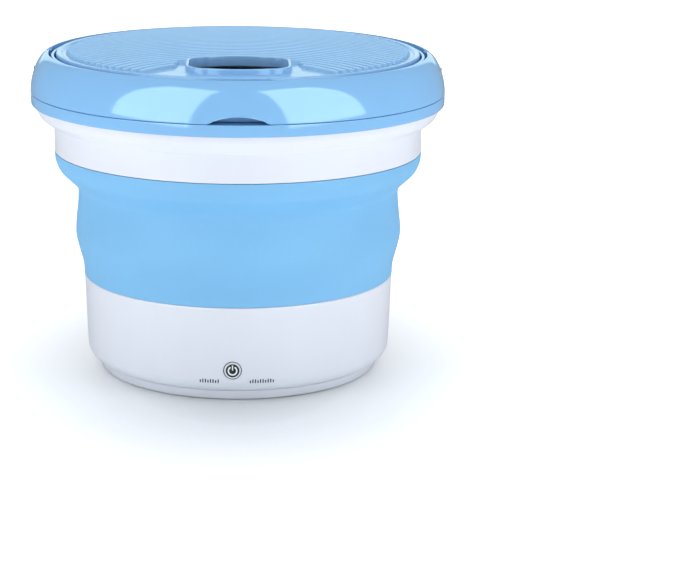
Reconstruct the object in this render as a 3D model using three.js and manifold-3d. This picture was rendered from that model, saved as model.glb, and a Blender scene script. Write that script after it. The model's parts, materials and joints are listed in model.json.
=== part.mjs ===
// Portable mini washer with a folding tub, in millimetres, +Z up.
// The origin is the centre of the foot circle, on the surface that the washer stands on.
// -Y is the front (power button, finger notch, grip hole); +Y is the back (drain plug, power socket).
// The tub is shown unfolded. Meshes are grouped by the body that they move with.

import * as THREE from "three";
import { mergeVertices } from "three/addons/utils/BufferGeometryUtils.js";
import Module from "manifold-3d";

const wasm = await Module();
wasm.setup();

// ---------------------------------------------------------------- driving dimensions

const GAP = 0.3; // between pieces that touch
const SIDES = 32; // facets of a large round piece
const SMALL_SIDES = 12; // facets of a small round piece

const WALL = 2.5; // moulded casing thickness

// base
const FOOT_Z = 1.0; // underside of the foot ring, which the rubber pads hold off the table
const FOOT_R = 88.6;
const STEP_R = 91.2; // where the casing ends above the foot ring
const CORNER_R = 10; // round lower corner of the casing
const CORNER_Z = 16;
const BASE_LOW_R = 97.4;
const BASE_TOP_R = 99.0;
const BASE_TOP_Z = 61.0;
const COVER_Z = 3.5; // underside of the bottom plate
const COVER_TOP_Z = 6.0;

// tub floor
const FLOOR_Z = 52.0;
const RECESS_Z = 46.5;
const RECESS_R = 64;
const TUB_WALL_R = 93.9;
const HUB_R = 14.2;
const HUB_BOTTOM_Z = 19.8;
const SCREW_CIRCLE_R = 70;

// folding wall and collar
const COLLAR_Z = 140.9; // lower edge of the white collar
const COLLAR_R = 116.3;
const COLLAR_THICK = 3.0;
const COLLAR_TOP_Z = 176.0;
const FLANGE_R = 127.6;
const FLANGE_Z = 170.7;

// rim, handle and lid
const RIM_R = 130.5;
const RIM_LOW_Z = 171.0;
const SHELF_Z = 178.1; // the handle rests here
const CREST_R = 119.0; // inner edge of the rim's crown
const CREST_Z = 202.3;
const INNER_WALL_R = 117.4;
const INNER_WALL_TOP_Z = 201.0;
const LEDGE_Z = 189.0; // the lid rests here
const PIVOT_Z = 190.5;
const PIVOT_END_R = 12.1; // round ends of the handle
const LID_R = 114.2;
const SKIRT_Z = 191.2; // lower edge of the lid's skirt
const LID_TOP_Z = 204.3; // crown of the lid's own surface
const LID_CURVE = 2.34e-4; // fall of that surface, per millimetre of radius squared

// drive
const SHAFT_R = 4.0;
const MOTOR_X = 36; // the motor's axis; equal to the gears' centre distance
const GEAR_MODULE = 1.2;
const GEAR_TEETH = 50;
const PINION_TEETH = 10;
const GEAR_Z = 8.8;
const GEAR_THICK = 5.2;

// controls and connections
const BUTTON_X = -3.8; // the button and its switch sit a little left of the middle
const BUTTON_Z = 21.4;
const BUTTON_R = 5.3;
const BUTTON_FACE_Y = -97.9;
const LED_Z = 14.4;
const LED_PLACES = { function_led: -18, sterilizer_led: 14 }; // x of each indicator lamp
const DRAIN_Z = 20;
const DRAIN_Y = 77;
const PLUG_Y = 90.1; // inner end of the drain plug
const SOCKET_ANGLE = 120; // degrees from +X, at the back
const SOCKET_Z = 24;
const LEAD_R = 1.3;

// ---------------------------------------------------------------- materials

const plastic = (color, roughness) => new THREE.MeshStandardMaterial({ color, roughness, metalness: 0 });
const metal = (color, roughness) => new THREE.MeshStandardMaterial({ color, roughness, metalness: 1 });

const MATERIAL = {
  white: plastic(0xe6e8f2, 0.35),
  blue: plastic(0x8cc3f2, 0.25),
  silicone: plastic(0x86c2f0, 0.6),
  rubber: plastic(0x3a3c40, 0.85),
  black: plastic(0x1c1c20, 0.4),
  board: plastic(0x1f6b3f, 0.5),
  nylon: plastic(0xe9e4d4, 0.55),
  lens: plastic(0x9aa0ff, 0.1),
  steel: metal(0xb9bcc2, 0.3),
  zinc: metal(0x9a9ea6, 0.4),
  wire: plastic(0xb02a2a, 0.6),
};

// ---------------------------------------------------------------- solids

// A closed geometry as a manifold solid, turned right side out if its profile ran the other way.
function solidOf(geometry) {
  const bare = geometry.index ? geometry.toNonIndexed() : geometry.clone();
  bare.deleteAttribute("normal");
  bare.deleteAttribute("uv");
  const merged = mergeVertices(bare, 1e-4);
  const position = merged.getAttribute("position").array;
  const triangles = new Uint32Array(merged.index.array);
  const build = () =>
    new wasm.Manifold(new wasm.Mesh({ numProp: 3, vertProperties: position, triVerts: triangles }));
  const made = build();
  if (made.volume() > 0) return made;
  for (let i = 0; i < triangles.length; i += 3) {
    [triangles[i + 1], triangles[i + 2]] = [triangles[i + 2], triangles[i + 1]];
  }
  return build();
}

function meshOf(name, solid, material) {
  const { numProp, vertProperties, triVerts, numVert } = solid.getMesh();
  const position = new Float32Array(numVert * 3);
  for (let i = 0; i < numVert; i++) {
    position.set(vertProperties.subarray(i * numProp, i * numProp + 3), i * 3);
  }
  const geometry = new THREE.BufferGeometry();
  geometry.setAttribute("position", new THREE.BufferAttribute(position, 3));
  geometry.setIndex(new THREE.BufferAttribute(triVerts, 1));
  geometry.computeVertexNormals();
  const mesh = new THREE.Mesh(geometry, material);
  mesh.name = name;
  return mesh;
}

const join = (first, ...others) => others.reduce((all, next) => all.add(next), first);
const cut = (first, ...others) => others.reduce((all, next) => all.subtract(next), first);

// A solid of revolution about Z from [radius, height] points. A ring's profile is closed here.
function turned(profile, sides = SIDES) {
  const points = profile.map(([r, z]) => new THREE.Vector2(r, z));
  const onAxis = profile[0][0] === 0 && profile[profile.length - 1][0] === 0;
  if (!onAxis) points.push(points[0].clone());
  return solidOf(new THREE.LatheGeometry(points, sides).rotateX(Math.PI / 2));
}

// A cylinder of the given axis, centred on (x, y, z).
function cylinder(radius, length, [x, y, z], axis = "z", sides = SMALL_SIDES) {
  const geometry = new THREE.CylinderGeometry(radius, radius, length, sides);
  if (axis === "z") geometry.rotateX(Math.PI / 2);
  if (axis === "x") geometry.rotateZ(Math.PI / 2);
  return solidOf(geometry.translate(x, y, z));
}

const box = (sx, sy, sz, [x, y, z]) => solidOf(new THREE.BoxGeometry(sx, sy, sz).translate(x, y, z));

// An outline in the XY plane, raised from z0 to z1.
function raised(outline, z0, z1) {
  const shape = new THREE.Shape(outline.map(([x, y]) => new THREE.Vector2(x, y)));
  const geometry = new THREE.ExtrudeGeometry(shape, { depth: z1 - z0, bevelEnabled: false, steps: 1 });
  return solidOf(geometry.translate(0, 0, z0));
}

// Points of an arc in a profile, both ends included, angles in degrees.
function arc(cx, cy, radius, from, to, steps) {
  return Array.from({ length: steps + 1 }, (_, i) => {
    const a = THREE.MathUtils.degToRad(from + ((to - from) * i) / steps);
    return [cx + radius * Math.cos(a), cy + radius * Math.sin(a)];
  });
}

// A round bar of the given radius along a curve.
function rod(curve, radius, steps, sides) {
  const outline = arc(0, 0, radius, 0, 360, sides).slice(0, -1);
  const section = new THREE.Shape(outline.map(([x, y]) => new THREE.Vector2(x, y)));
  return solidOf(new THREE.ExtrudeGeometry(section, { steps, bevelEnabled: false, extrudePath: curve }));
}

// A smooth curve through points. A lower tension keeps straight stretches straighter.
function through(points, tension = 0.5) {
  const places = points.map((p) => new THREE.Vector3(...p));
  return new THREE.CatmullRomCurve3(places, false, "catmullrom", tension);
}

// The point at a radius and an angle from +X, in the XY plane.
const round = (radius, angle) => {
  const a = THREE.MathUtils.degToRad(angle);
  return [radius * Math.cos(a), radius * Math.sin(a)];
};

// ---------------------------------------------------------------- base casing

const COVER_SCREW_ANGLES = [45, 135, 225, 315];
const FOOT_ANGLES = [0, 90, 180, 270].map((a) => a + 22.5);
const FOOT_CIRCLE_R = 83.3;
const PAD_R = 4.5;
const SCREW_R = 1.5;
const SCREW_HOLE_R = 1.9;
const SOCKET_R = 4.2;
const DRAIN_BORE_R = 5;
const DRAIN_PIPE_R = 7.5;
const DRAIN_NECK_Z = 32.7; // where the neck ends and the elbow starts
const DRAIN_FLANGE_Z = FLOOR_Z + 1.2; // top of the neck
const BOARD_Y = -86;
const BOARD_WIDTH = 50;
const BOARD_THICK = 1.6;
const BOARD_HEIGHT = 21;
const CLIP_WIDTH = 3; // of the two clips that hold the board
const SIDE_WALL_Y = 96; // middle of a cutter that goes through the casing's side
const SIDE_CUT = 14; // and its length

// How far round the lower corner the casing runs before it stops at the foot ring.
const cornerEnd = -THREE.MathUtils.radToDeg(Math.acos((STEP_R - (BASE_LOW_R - CORNER_R)) / CORNER_R));

// A piece turned from pointing along +Y to pointing out at an angle from +X.
const facing = (solid, angle) => solid.rotate([0, 0, angle - 90]);

function baseShell() {
  const cornerX = BASE_LOW_R - CORNER_R;
  const skin = turned([
    ...arc(cornerX, CORNER_Z, CORNER_R, cornerEnd, 0, 4),
    [BASE_TOP_R, BASE_TOP_Z],
    [BASE_TOP_R - WALL, BASE_TOP_Z],
    ...arc(cornerX, CORNER_Z, CORNER_R - WALL, 0, cornerEnd, 3),
  ]);
  const clipX = BOARD_WIDTH / 2 + CLIP_WIDTH / 2 + GAP;
  const clip = (side) => box(CLIP_WIDTH, 9.5, BOARD_HEIGHT + 1, [side * clipX, -88.5, BUTTON_Z]);
  const openings = [
    cylinder(BUTTON_R + 0.35, SIDE_CUT, [BUTTON_X, -SIDE_WALL_Y, BUTTON_Z], "y", 20),
    cylinder(DRAIN_PIPE_R + GAP, SIDE_CUT, [0, SIDE_WALL_Y, DRAIN_Z], "y", 16),
    facing(cylinder(SOCKET_R + GAP, SIDE_CUT, [0, SIDE_WALL_Y, SOCKET_Z], "y"), SOCKET_ANGLE),
  ];
  return cut(join(skin, clip(-1), clip(1)), ...openings);
}

function bottomCover() {
  const plate = turned([
    [0, COVER_Z],
    [FOOT_R - 10.6, COVER_Z],
    [FOOT_R - 10.6, FOOT_Z],
    [FOOT_R, FOOT_Z],
    [STEP_R - 0.3, COVER_TOP_Z + 0.3],
    [STEP_R - 1.6, COVER_TOP_Z + 0.3],
    [STEP_R - 1.6, 9],
    [STEP_R - 3.6, 9],
    [STEP_R - 3.6, COVER_TOP_Z],
    [0, COVER_TOP_Z],
  ]);
  const screwHoles = COVER_SCREW_ANGLES.map((a) =>
    cylinder(SCREW_HOLE_R, 8, [...round(SCREW_CIRCLE_R, a), COVER_Z], "z", 8));
  const padPockets = FOOT_ANGLES.map((a) =>
    cylinder(PAD_R + GAP, 3, [...round(FOOT_CIRCLE_R, a), FOOT_Z], "z"));
  return cut(plate, ...screwHoles, ...padPockets);
}

// A pan-head screw, head down, with the underside of its head at z = 0.
const screw = (length) =>
  turned([[0, -1.5], [2.4, -1.5], [3.0, -0.6], [3.0, 0], [SCREW_R, 0], [SCREW_R, length], [0, length]], 8);

// ---------------------------------------------------------------- tub floor

const SEAL_SEAT_R = 9.3;
const SEAL_SEAT_Z = 41.7; // the step between the seal's seat and the bearings' bore
const BEARING_BORE_R = 11.3;
const TUB_LIP_Z = 60.5;
const BOSS_R = 4;
const BOSS_HEIGHT = 44;
const UV_ANGLE = -90;
const UV_R = 5;

function tubFloor() {
  const basin = turned([
    [SEAL_SEAT_R, RECESS_Z],
    [RECESS_R, RECESS_Z],
    [RECESS_R + 4, FLOOR_Z],
    [86, FLOOR_Z],
    [90, 53.5],
    [91.5, 57],
    [91.7, TUB_LIP_Z],
    [TUB_WALL_R, TUB_LIP_Z],
    [TUB_WALL_R, 51],
    [89, FLOOR_Z - WALL],
    [RECESS_R + 5.5, FLOOR_Z - WALL],
    [RECESS_R + 1.5, RECESS_Z - WALL],
    [HUB_R, RECESS_Z - WALL],
    [HUB_R, HUB_BOTTOM_Z],
    [BEARING_BORE_R, HUB_BOTTOM_Z],
    [BEARING_BORE_R, SEAL_SEAT_Z],
    [SEAL_SEAT_R, SEAL_SEAT_Z],
  ]);
  const bossZ = COVER_TOP_Z + GAP + BOSS_HEIGHT / 2;
  const bosses = COVER_SCREW_ANGLES.map((a) =>
    cylinder(BOSS_R, BOSS_HEIGHT, [...round(SCREW_CIRCLE_R, a), bossZ], "z", 10));
  const bossHoles = COVER_SCREW_ANGLES.map((a) =>
    cylinder(SCREW_HOLE_R, 20, [...round(SCREW_CIRCLE_R, a), COVER_TOP_Z + 9], "z", 8));
  const drainHole = cylinder(DRAIN_PIPE_R + GAP, 12, [0, DRAIN_Y, FLOOR_Z], "z", 16);
  const uvHole = cylinder(UV_R + GAP, 12, [...round(DRAIN_Y, UV_ANGLE), FLOOR_Z], "z", SMALL_SIDES);
  return cut(join(basin, ...bosses), ...bossHoles, drainHole, uvHole);
}

// A low cap over the drain hole, open between its rim, its centre and its four spokes.
function drainStrainer() {
  const cap = turned([[0, 0], [8.5, 0], [8.5, 0.8], [7, 1.8], [0, 1.8]], 16);
  const slot = turned([[1.6, -1], [6.4, -1], [6.4, 3], [1.6, 3]], 16);
  const spokes = join(box(15, 1.4, 6, [0, 0, 0]), box(1.4, 15, 6, [0, 0, 0]));
  return cut(cap, cut(slot, spokes)).translate([0, DRAIN_Y, DRAIN_FLANGE_Z + GAP]);
}

// The straight fitting through the tub floor, with a flange that lies on the floor.
function drainNeck() {
  const flangeR = 9;
  const neck = turned([
    [DRAIN_BORE_R, DRAIN_NECK_Z],
    [DRAIN_PIPE_R, DRAIN_NECK_Z],
    [DRAIN_PIPE_R, FLOOR_Z + GAP],
    [flangeR, FLOOR_Z + GAP],
    [flangeR, DRAIN_FLANGE_Z],
    [DRAIN_BORE_R, DRAIN_FLANGE_Z],
  ], 16);
  return neck.translate([0, DRAIN_Y, 0]);
}

// The pipe from the neck round and out through the back of the casing.
function drainElbow() {
  const bend = 11;
  const turn = arc(DRAIN_Y + bend, DRAIN_Z + bend, bend, 180, 270, 4).map(([y, z]) => [0, y, z]);
  const route = (mouthY, topZ) => through([[0, DRAIN_Y, topZ], ...turn, [0, mouthY, DRAIN_Z]], 0.2);
  const mouth = 96.6;
  const top = DRAIN_NECK_Z - GAP;
  const beyond = 3; // the bore runs past both ends of the pipe
  const pipe = rod(route(mouth, top), DRAIN_PIPE_R, 8, 12);
  const bore = rod(route(mouth + beyond, top + beyond), DRAIN_BORE_R, 8, 12);
  return cut(pipe, bore);
}

// A tapered stopper with a hollow nose, a flange and a pull tab, lying along +Y.
function drainPlug() {
  const stopper = turned([
    [3.6, 0],
    [4.2, 0],
    [4.55, 7.6],
    [6.4, 7.9],
    [6.4, 9.2],
    [0, 9.2],
    [0, 8.1],
    [3.6, 8.1],
  ], 12).rotate([-90, 0, 0]);
  const tab = box(9, 2.2, 2.4, [0, 9.9, 0]);
  return join(stopper, tab).translate([0, PLUG_Y, DRAIN_Z]);
}

// ---------------------------------------------------------------- drive

// Half the angle that a tooth fills at a radius, less the backlash.
function toothHalfAngle(teeth, radius) {
  const pitchR = (teeth * GEAR_MODULE) / 2;
  const pressure = THREE.MathUtils.degToRad(20);
  const involute = (a) => Math.tan(a) - a;
  const at = Math.acos(Math.min(1, (pitchR * Math.cos(pressure)) / radius));
  const backlash = 0.13 / pitchR;
  return Math.PI / (2 * teeth) + involute(pressure) - involute(at) - backlash;
}

// A spur gear about Z with its first tooth at angle `phase` from +X, from z0 up.
function spurGear(teeth, bore, z0, thick, phase) {
  const pitchR = (teeth * GEAR_MODULE) / 2;
  const baseR = pitchR * Math.cos(THREE.MathUtils.degToRad(20));
  const rootR = pitchR - 1.2 * GEAR_MODULE;
  const tipR = pitchR + 0.85 * GEAR_MODULE;
  // From root to tip. A tooth is no wider at its root than where its involute starts.
  const flank = [rootR, Math.max(rootR, baseR), tipR].filter((r, i, all) => r !== all[i - 1]);
  const outline = [];
  for (let t = 0; t < teeth; t++) {
    const middle = phase + (2 * Math.PI * t) / teeth;
    const corner = (r, side) => {
      const angle = middle + side * toothHalfAngle(teeth, Math.max(r, baseR));
      outline.push([r * Math.cos(angle), r * Math.sin(angle)]);
    };
    flank.forEach((r) => corner(r, -1));
    [...flank].reverse().forEach((r) => corner(r, 1));
  }
  return cut(raised(outline, z0, z0 + thick), cylinder(bore, 40, [0, 0, z0], "z"));
}

function driveGear() {
  const blank = spurGear(GEAR_TEETH, SHAFT_R + GAP, GEAR_Z, GEAR_THICK, 0);
  const webHoles = [0, 60, 120, 180, 240, 300].map((a) =>
    cylinder(4.5, 20, [...round(18, a + 30), GEAR_Z], "z", 10));
  return cut(blank, ...webHoles);
}

// The pinion meshes at the gear's +X side, so one of its tooth spaces faces the gear's first tooth.
const motorPinion = () =>
  spurGear(PINION_TEETH, 1.3, GEAR_Z - GAP, GEAR_THICK + 2 * GAP, Math.PI / PINION_TEETH);

const bearing = () => turned([[SHAFT_R + GAP, 0], [11, 0], [11, 7], [SHAFT_R + GAP, 7]], 16);

const MOTOR_Z = 20.1;
const MOTOR_R = 20.5;
const MOTOR_HEIGHT = 21.4;

function motorHousing() {
  const can = turned([
    [0, 0],
    [5.2, 0],
    [5.2, 1.2],
    [MOTOR_R - 1.5, 1.2],
    [MOTOR_R, 2.7],
    [MOTOR_R, MOTOR_HEIGHT - 1.5],
    [MOTOR_R - 1.5, MOTOR_HEIGHT],
    [0, MOTOR_HEIGHT],
  ], 20);
  return cut(can, cylinder(1.5, 14, [0, 0, 0], "z", 10));
}

// The plate that carries the motor, hung from the tub floor on three posts.
const BRACKET_Z = 16.8;
const BRACKET_THICK = 2.6;
const HEAD_RECESS = 1.8; // depth of the pockets that its screw heads sit in
const POST_PLACES = [[-24, 0], [46, 27], [46, -27]];

function motorBracket() {
  const side = [[-31, 8], [-10, 18], [30, 34], [54, 34], [61, 22]];
  const outline = [...side.map(([x, y]) => [x, -y]), ...side.reverse()];
  const posts = POST_PLACES.map(([x, y]) => cylinder(4.2, 25, [x, y, 31.2], "z", 10));
  const holes = POST_PLACES.flatMap(([x, y]) => [
    cylinder(SCREW_HOLE_R, 26, [x, y, 26], "z", 8),
    cylinder(3.4, 2 * HEAD_RECESS, [x, y, BRACKET_Z], "z", 10),
  ]);
  return cut(
    join(raised(outline, BRACKET_Z, BRACKET_Z + BRACKET_THICK), ...posts),
    ...holes,
    cylinder(SHAFT_R + 1.5, 9, [0, 0, BRACKET_Z]),
    cylinder(5.8, 9, [MOTOR_X, 0, BRACKET_Z]),
  );
}

// A low dished disc with five paddles across it.
function impeller() {
  const disc = turned([
    [SHAFT_R + GAP, 47.6],
    [60, 47.6],
    [61.5, 49],
    [60, 50.4],
    [24, 51.4],
    [15, 56.5],
    [9, 58.5],
    [SHAFT_R + GAP, 58.5],
  ]);
  const paddleSide = [[11, -0.6], [57, -0.6], [57, 1.2], [48, 6.4], [30, 7.6], [11, 7.2]];
  const paddle = raised(paddleSide, -2.6, 2.6).rotate([90, 0, 0]).translate([0, 0, 50.2]);
  const paddles = [0, 72, 144, 216, 288].map((a) => paddle.rotate([0, 0, a + 18]));
  return join(disc, ...paddles);
}

// ---------------------------------------------------------------- controls

// Turned about Z with its face at 0, then laid so that it faces -Y. A flange keeps it in the casing.
function powerButton() {
  const flangeR = BUTTON_R + 1.3;
  const cap = turned([
    [0, 0],
    [BUTTON_R - 0.4, 0],
    [BUTTON_R, -0.4],
    [BUTTON_R, -4.0],
    [flangeR, -4.4],
    [flangeR, -5.3],
    [2, -5.3],
    [2, -7],
    [0, -7],
  ], 20);
  return cap.rotate([90, 0, 0]).translate([BUTTON_X, BUTTON_FACE_Y, BUTTON_Z]);
}

function controlBoard() {
  return cut(
    box(BOARD_WIDTH, BOARD_THICK, BOARD_HEIGHT, [0, BOARD_Y, BUTTON_Z]),
    cylinder(1.6, 6, [-21, BOARD_Y, 13.5], "y", 8),
    cylinder(1.6, 6, [21, BOARD_Y, 29.3], "y", 8),
  );
}

// A block that stands on the board's front (side -1) or back (side 1).
function onBoard(width, depth, side, x) {
  const y = BOARD_Y + side * (BOARD_THICK / 2 + GAP + depth / 2);
  return box(width, depth, width, [x, y, BUTTON_Z]);
}

function powerSocket() {
  const body = box(11, 14, 11, [0, 86.8, SOCKET_Z]);
  const nose = cylinder(SOCKET_R, 6, [0, 94.2, SOCKET_Z], "y", SMALL_SIDES);
  const bore = cylinder(2.9, 12, [0, 92.5, SOCKET_Z], "y", SMALL_SIDES);
  const pin = cylinder(1.0, 10, [0, 91, SOCKET_Z], "y", 8);
  return facing(join(cut(join(body, nose), bore), pin), SOCKET_ANGLE);
}

const led = (x) =>
  turned([[0, 0], [1.5, 0], [1.5, 2.2], [0.8, 3.1], [0, 3.1]], 8)
    .rotate([90, 0, 0])
    .translate([x, BOARD_Y - BOARD_THICK / 2 - GAP, LED_Z]);

// ---------------------------------------------------------------- folding wall

const SILICONE = 2.0; // thickness of the folding wall
const SLEEVE = 1.7; // thickness of its lower sleeve, inside the casing
const TOP_SLEEVE_R = COLLAR_R - COLLAR_THICK - GAP;
const TOP_SLEEVE_Z = 152;
const LOW_SLEEVE_R = BASE_TOP_R - WALL - GAP;
const LOW_SLEEVE_Z = 54;

// The outer face of the wall between the collar and the casing, top to bottom.
const WALL_FACE = [
  [COLLAR_R - 0.1, COLLAR_Z - GAP],
  [115.9, 135],
  [111.6, 127.2],
  [104.6, 120.4],
  [102.1, 115.5],
  [104.0, 88],
  [100.2, 71.5],
  [BASE_TOP_R - 0.1, BASE_TOP_Z + GAP],
];

function foldingWall() {
  const inner = WALL_FACE.slice(1, -1).map(([r, z]) => [r - SILICONE, z]).reverse();
  return turned([
    [TOP_SLEEVE_R, TOP_SLEEVE_Z],
    [TOP_SLEEVE_R, COLLAR_Z - GAP],
    ...WALL_FACE,
    [LOW_SLEEVE_R, BASE_TOP_Z + GAP],
    [LOW_SLEEVE_R, LOW_SLEEVE_Z],
    [LOW_SLEEVE_R - SLEEVE, LOW_SLEEVE_Z],
    [LOW_SLEEVE_R - SLEEVE, BASE_TOP_Z + 1],
    ...inner,
    [TOP_SLEEVE_R - SILICONE, COLLAR_Z],
    [TOP_SLEEVE_R - SILICONE, TOP_SLEEVE_Z],
  ]);
}

// ---------------------------------------------------------------- collar and rim

function upperCollar() {
  const inner = COLLAR_R - COLLAR_THICK;
  return turned([
    [inner, COLLAR_Z],
    [COLLAR_R, COLLAR_Z],
    [COLLAR_R, 157.4],
    [117.3, 159.3],
    [121, 160.8],
    [124.6, 163.6],
    [126.9, 167.2],
    [FLANGE_R, FLANGE_Z],
    [FLANGE_R - WALL, FLANGE_Z],
    [124.2, 167.6],
    [122, 164.9],
    [119, 163.2],
    [COLLAR_R, 162.6],
    [COLLAR_R, COLLAR_TOP_Z],
    [inner, COLLAR_TOP_Z],
  ]);
}

// The rim's crown from its widest point up to its inner edge, a superellipse, drawn in by `inset`.
function crown(inset, steps) {
  const [a, b] = [RIM_R - CREST_R - inset, CREST_Z - SHELF_Z - inset];
  const power = 2 / 1.8;
  return Array.from({ length: steps + 1 }, (_, i) => {
    const t = (i / steps) * (Math.PI / 2);
    return [CREST_R + a * Math.cos(t) ** power, SHELF_Z + b * Math.sin(t) ** power];
  });
}

const ACROSS = 300; // longer than the rim is wide
const PIN_HOLE_R = 3.3;
const alongPivot = (radius, length, sides) => cylinder(radius, length, [0, 0, PIVOT_Z], "x", sides);
// A block that holds the back (side 1) or the front (side -1) half of the rim's crown.
const half = (side) => box(ACROSS, ACROSS, 60, [0, (side * ACROSS) / 2, PIVOT_Z]);

function rimRing() {
  const ring = turned([
    [RIM_R - 0.4, RIM_LOW_Z],
    [RIM_R, RIM_LOW_Z + 0.8],
    [RIM_R, SHELF_Z],
    [INNER_WALL_R, SHELF_Z],
    [INNER_WALL_R, INNER_WALL_TOP_Z],
    [INNER_WALL_R - 2, INNER_WALL_TOP_Z],
    [INNER_WALL_R - 2, LEDGE_Z],
    [INNER_WALL_R - 4.8, LEDGE_Z],
    [INNER_WALL_R - 4.8, LEDGE_Z - 2],
    [INNER_WALL_R - 2, LEDGE_Z - 4.5],
    [INNER_WALL_R - 2, COLLAR_TOP_Z + GAP],
    [COLLAR_R + 0.5, COLLAR_TOP_Z + GAP],
    [COLLAR_R + 0.5, SHELF_Z - WALL],
    [RIM_R - WALL, SHELF_Z - WALL],
    [RIM_R - WALL, RIM_LOW_Z],
  ]);
  // The back half of the crown is fixed. Its ends stand behind the handle's round ends.
  const shell = turned([
    [RIM_R, SHELF_Z - 0.5],
    ...crown(0, 4),
    ...crown(2.3, 4).reverse(),
    [RIM_R - 2.3, SHELF_Z - 0.5],
  ]);
  const socketR = PIVOT_END_R + 0.7;
  const aboveEnds = box(ACROSS, 2 * socketR, 40, [0, 0, PIVOT_Z + 20]);
  const backCrown = cut(shell, half(-1), aboveEnds, alongPivot(socketR, ACROSS, 24));
  return cut(join(ring, backCrown), alongPivot(PIN_HOLE_R, ACROSS));
}

// ---------------------------------------------------------------- carry handle

const NOTCH_HALF_WIDTH = 17.4;
const NOTCH_HEIGHT = 4.4;

// A half ring, hollow from below, whose two ends are solid round eyes for the pins.
function carryHandle() {
  const lowZ = SHELF_Z + GAP;
  const innerR = CREST_R - 0.2;
  const outside = [[RIM_R, lowZ], ...crown(0, 4).slice(1, -1), [innerR, CREST_Z], [innerR, lowZ]];
  const channel = turned([
    ...outside,
    [innerR + 2, lowZ],
    [innerR + 2, CREST_Z - 4],
    ...crown(WALL, 4).reverse().slice(1, -1),
    [RIM_R - WALL, lowZ],
  ]);
  const ends = turned(outside).intersect(alongPivot(PIVOT_END_R, ACROSS, 24));
  const notchR = (NOTCH_HALF_WIDTH ** 2 + NOTCH_HEIGHT ** 2) / (2 * NOTCH_HEIGHT);
  const notch = cylinder(notchR, 24, [0, 3.5 - RIM_R, lowZ + NOTCH_HEIGHT - notchR], "y", 60);
  return cut(join(cut(channel, half(1)), ends), notch, alongPivot(PIN_HOLE_R, 2 * PIN_END_X));
}

const PIN_END_X = 126; // where the pins' blind holes end inside the handle
const PIN_LENGTH = 10.4;
const handlePin = (side) =>
  cylinder(PIN_HOLE_R - GAP, PIN_LENGTH, [side * (PIN_END_X - 0.4 - PIN_LENGTH / 2), 0, PIVOT_Z], "x");

// ---------------------------------------------------------------- lid

const GRIP_Y = -78; // middle of the grip hole
const GRIP_HALF_WIDTH = 29.5;
const GRIP_HALF_DEPTH = 18.5;
const GRIP_BOW = 3;
const GRIP_LEAN = 2.4; // degrees
const GRIP_COLLAR_THICK = 1.6; // of the collar that stands round the hole
const GRIP_COLLAR_HEIGHT = 3.8;

const lidSurface = (r) => LID_TOP_Z - LID_CURVE * r * r;

// The grip hole: straight sides, and a front and a back that bow outwards.
function gripOutline(grow) {
  const halfX = GRIP_HALF_WIDTH + grow;
  const frontY = GRIP_Y - GRIP_HALF_DEPTH - grow;
  const backY = GRIP_Y + GRIP_HALF_DEPTH + grow;
  const corner = 11 + grow;
  const side = halfX - corner;
  const edge = (y, out, from, to) => Array.from({ length: 5 }, (_, i) => {
    const x = from + ((to - from) * i) / 4;
    return [x, y + out * GRIP_BOW * (1 - (x / side) ** 2)];
  });
  return [
    ...edge(backY, 1, side, -side),
    ...arc(-side, backY - corner, corner, 90, 180, 4).slice(1),
    ...arc(-side, frontY + corner, corner, 180, 270, 4),
    ...edge(frontY, -1, -side, side).slice(1),
    ...arc(side, frontY + corner, corner, -90, 0, 4).slice(1),
    ...arc(side, backY - corner, corner, 0, 90, 4).slice(0, -1),
  ];
}

// An upright piece about the grip hole, from z0 to z1 above the lid's surface there. It stands
// square to the crowned surface, so it leans forward a little.
function leaned(outline, z0, z1) {
  const upright = raised(outline, z0, z1).translate([0, -GRIP_Y, 0]);
  return upright.rotate([GRIP_LEAN, 0, 0]).translate([0, GRIP_Y, lidSurface(GRIP_Y)]);
}

function lidPanel() {
  const radii = [0, 40, 75, 110];
  const panel = turned([
    ...radii.map((r) => [r, lidSurface(r)]),
    [110.8, 202.4],
    [112.2, 202.9],
    [113.7, 202.6],
    [LID_R, 201.6],
    [LID_R, SKIRT_Z],
    [LID_R - 2.4, SKIRT_Z],
    [LID_R - 2.4, 198.4],
    ...radii.slice(1).reverse().map((r) => [r, lidSurface(r) - WALL]),
    [0, lidSurface(0) - WALL],
  ]);
  const collar = leaned(gripOutline(GRIP_COLLAR_THICK), -WALL / 2, GRIP_COLLAR_HEIGHT);
  const hole = leaned(gripOutline(0), -12, 12);
  return cut(join(panel, collar), hole);
}

// A soft ring between the lid's skirt and the ledge.
function lidSeal() {
  const [low, high] = [LEDGE_Z + GAP, SKIRT_Z - GAP];
  return turned([[LID_R - 2.2, low], [LID_R, low], [LID_R, high], [LID_R - 2.2, high]]);
}

// ---------------------------------------------------------------- assembly

function at(mesh, x, y, z, turn = 0) {
  mesh.position.set(x, y, z);
  mesh.rotation.z = THREE.MathUtils.degToRad(turn);
  return mesh;
}

function group(...meshes) {
  const made = new THREE.Group();
  made.add(...meshes);
  return made;
}

// Copies of one solid, numbered from 1, at [x, y, z] places.
function copies(name, solid, material, places) {
  return places.map(([x, y, z], i) => at(meshOf(`${name}_${i + 1}`, solid, material), x, y, z));
}

function padsAndScrews() {
  const pad = turned([[0, 0], [PAD_R - 0.4, 0], [PAD_R, 0.5], [PAD_R, 2.1], [0, 2.1]], SMALL_SIDES);
  const padPlaces = FOOT_ANGLES.map((a) => [...round(FOOT_CIRCLE_R, a), 0]);
  const screwPlaces = COVER_SCREW_ANGLES.map((a) => [...round(SCREW_CIRCLE_R, a), COVER_Z - GAP]);
  return [
    ...copies("rubber_foot", pad, MATERIAL.rubber, padPlaces),
    ...copies("cover_screw", screw(16), MATERIAL.steel, screwPlaces),
  ];
}

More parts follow.
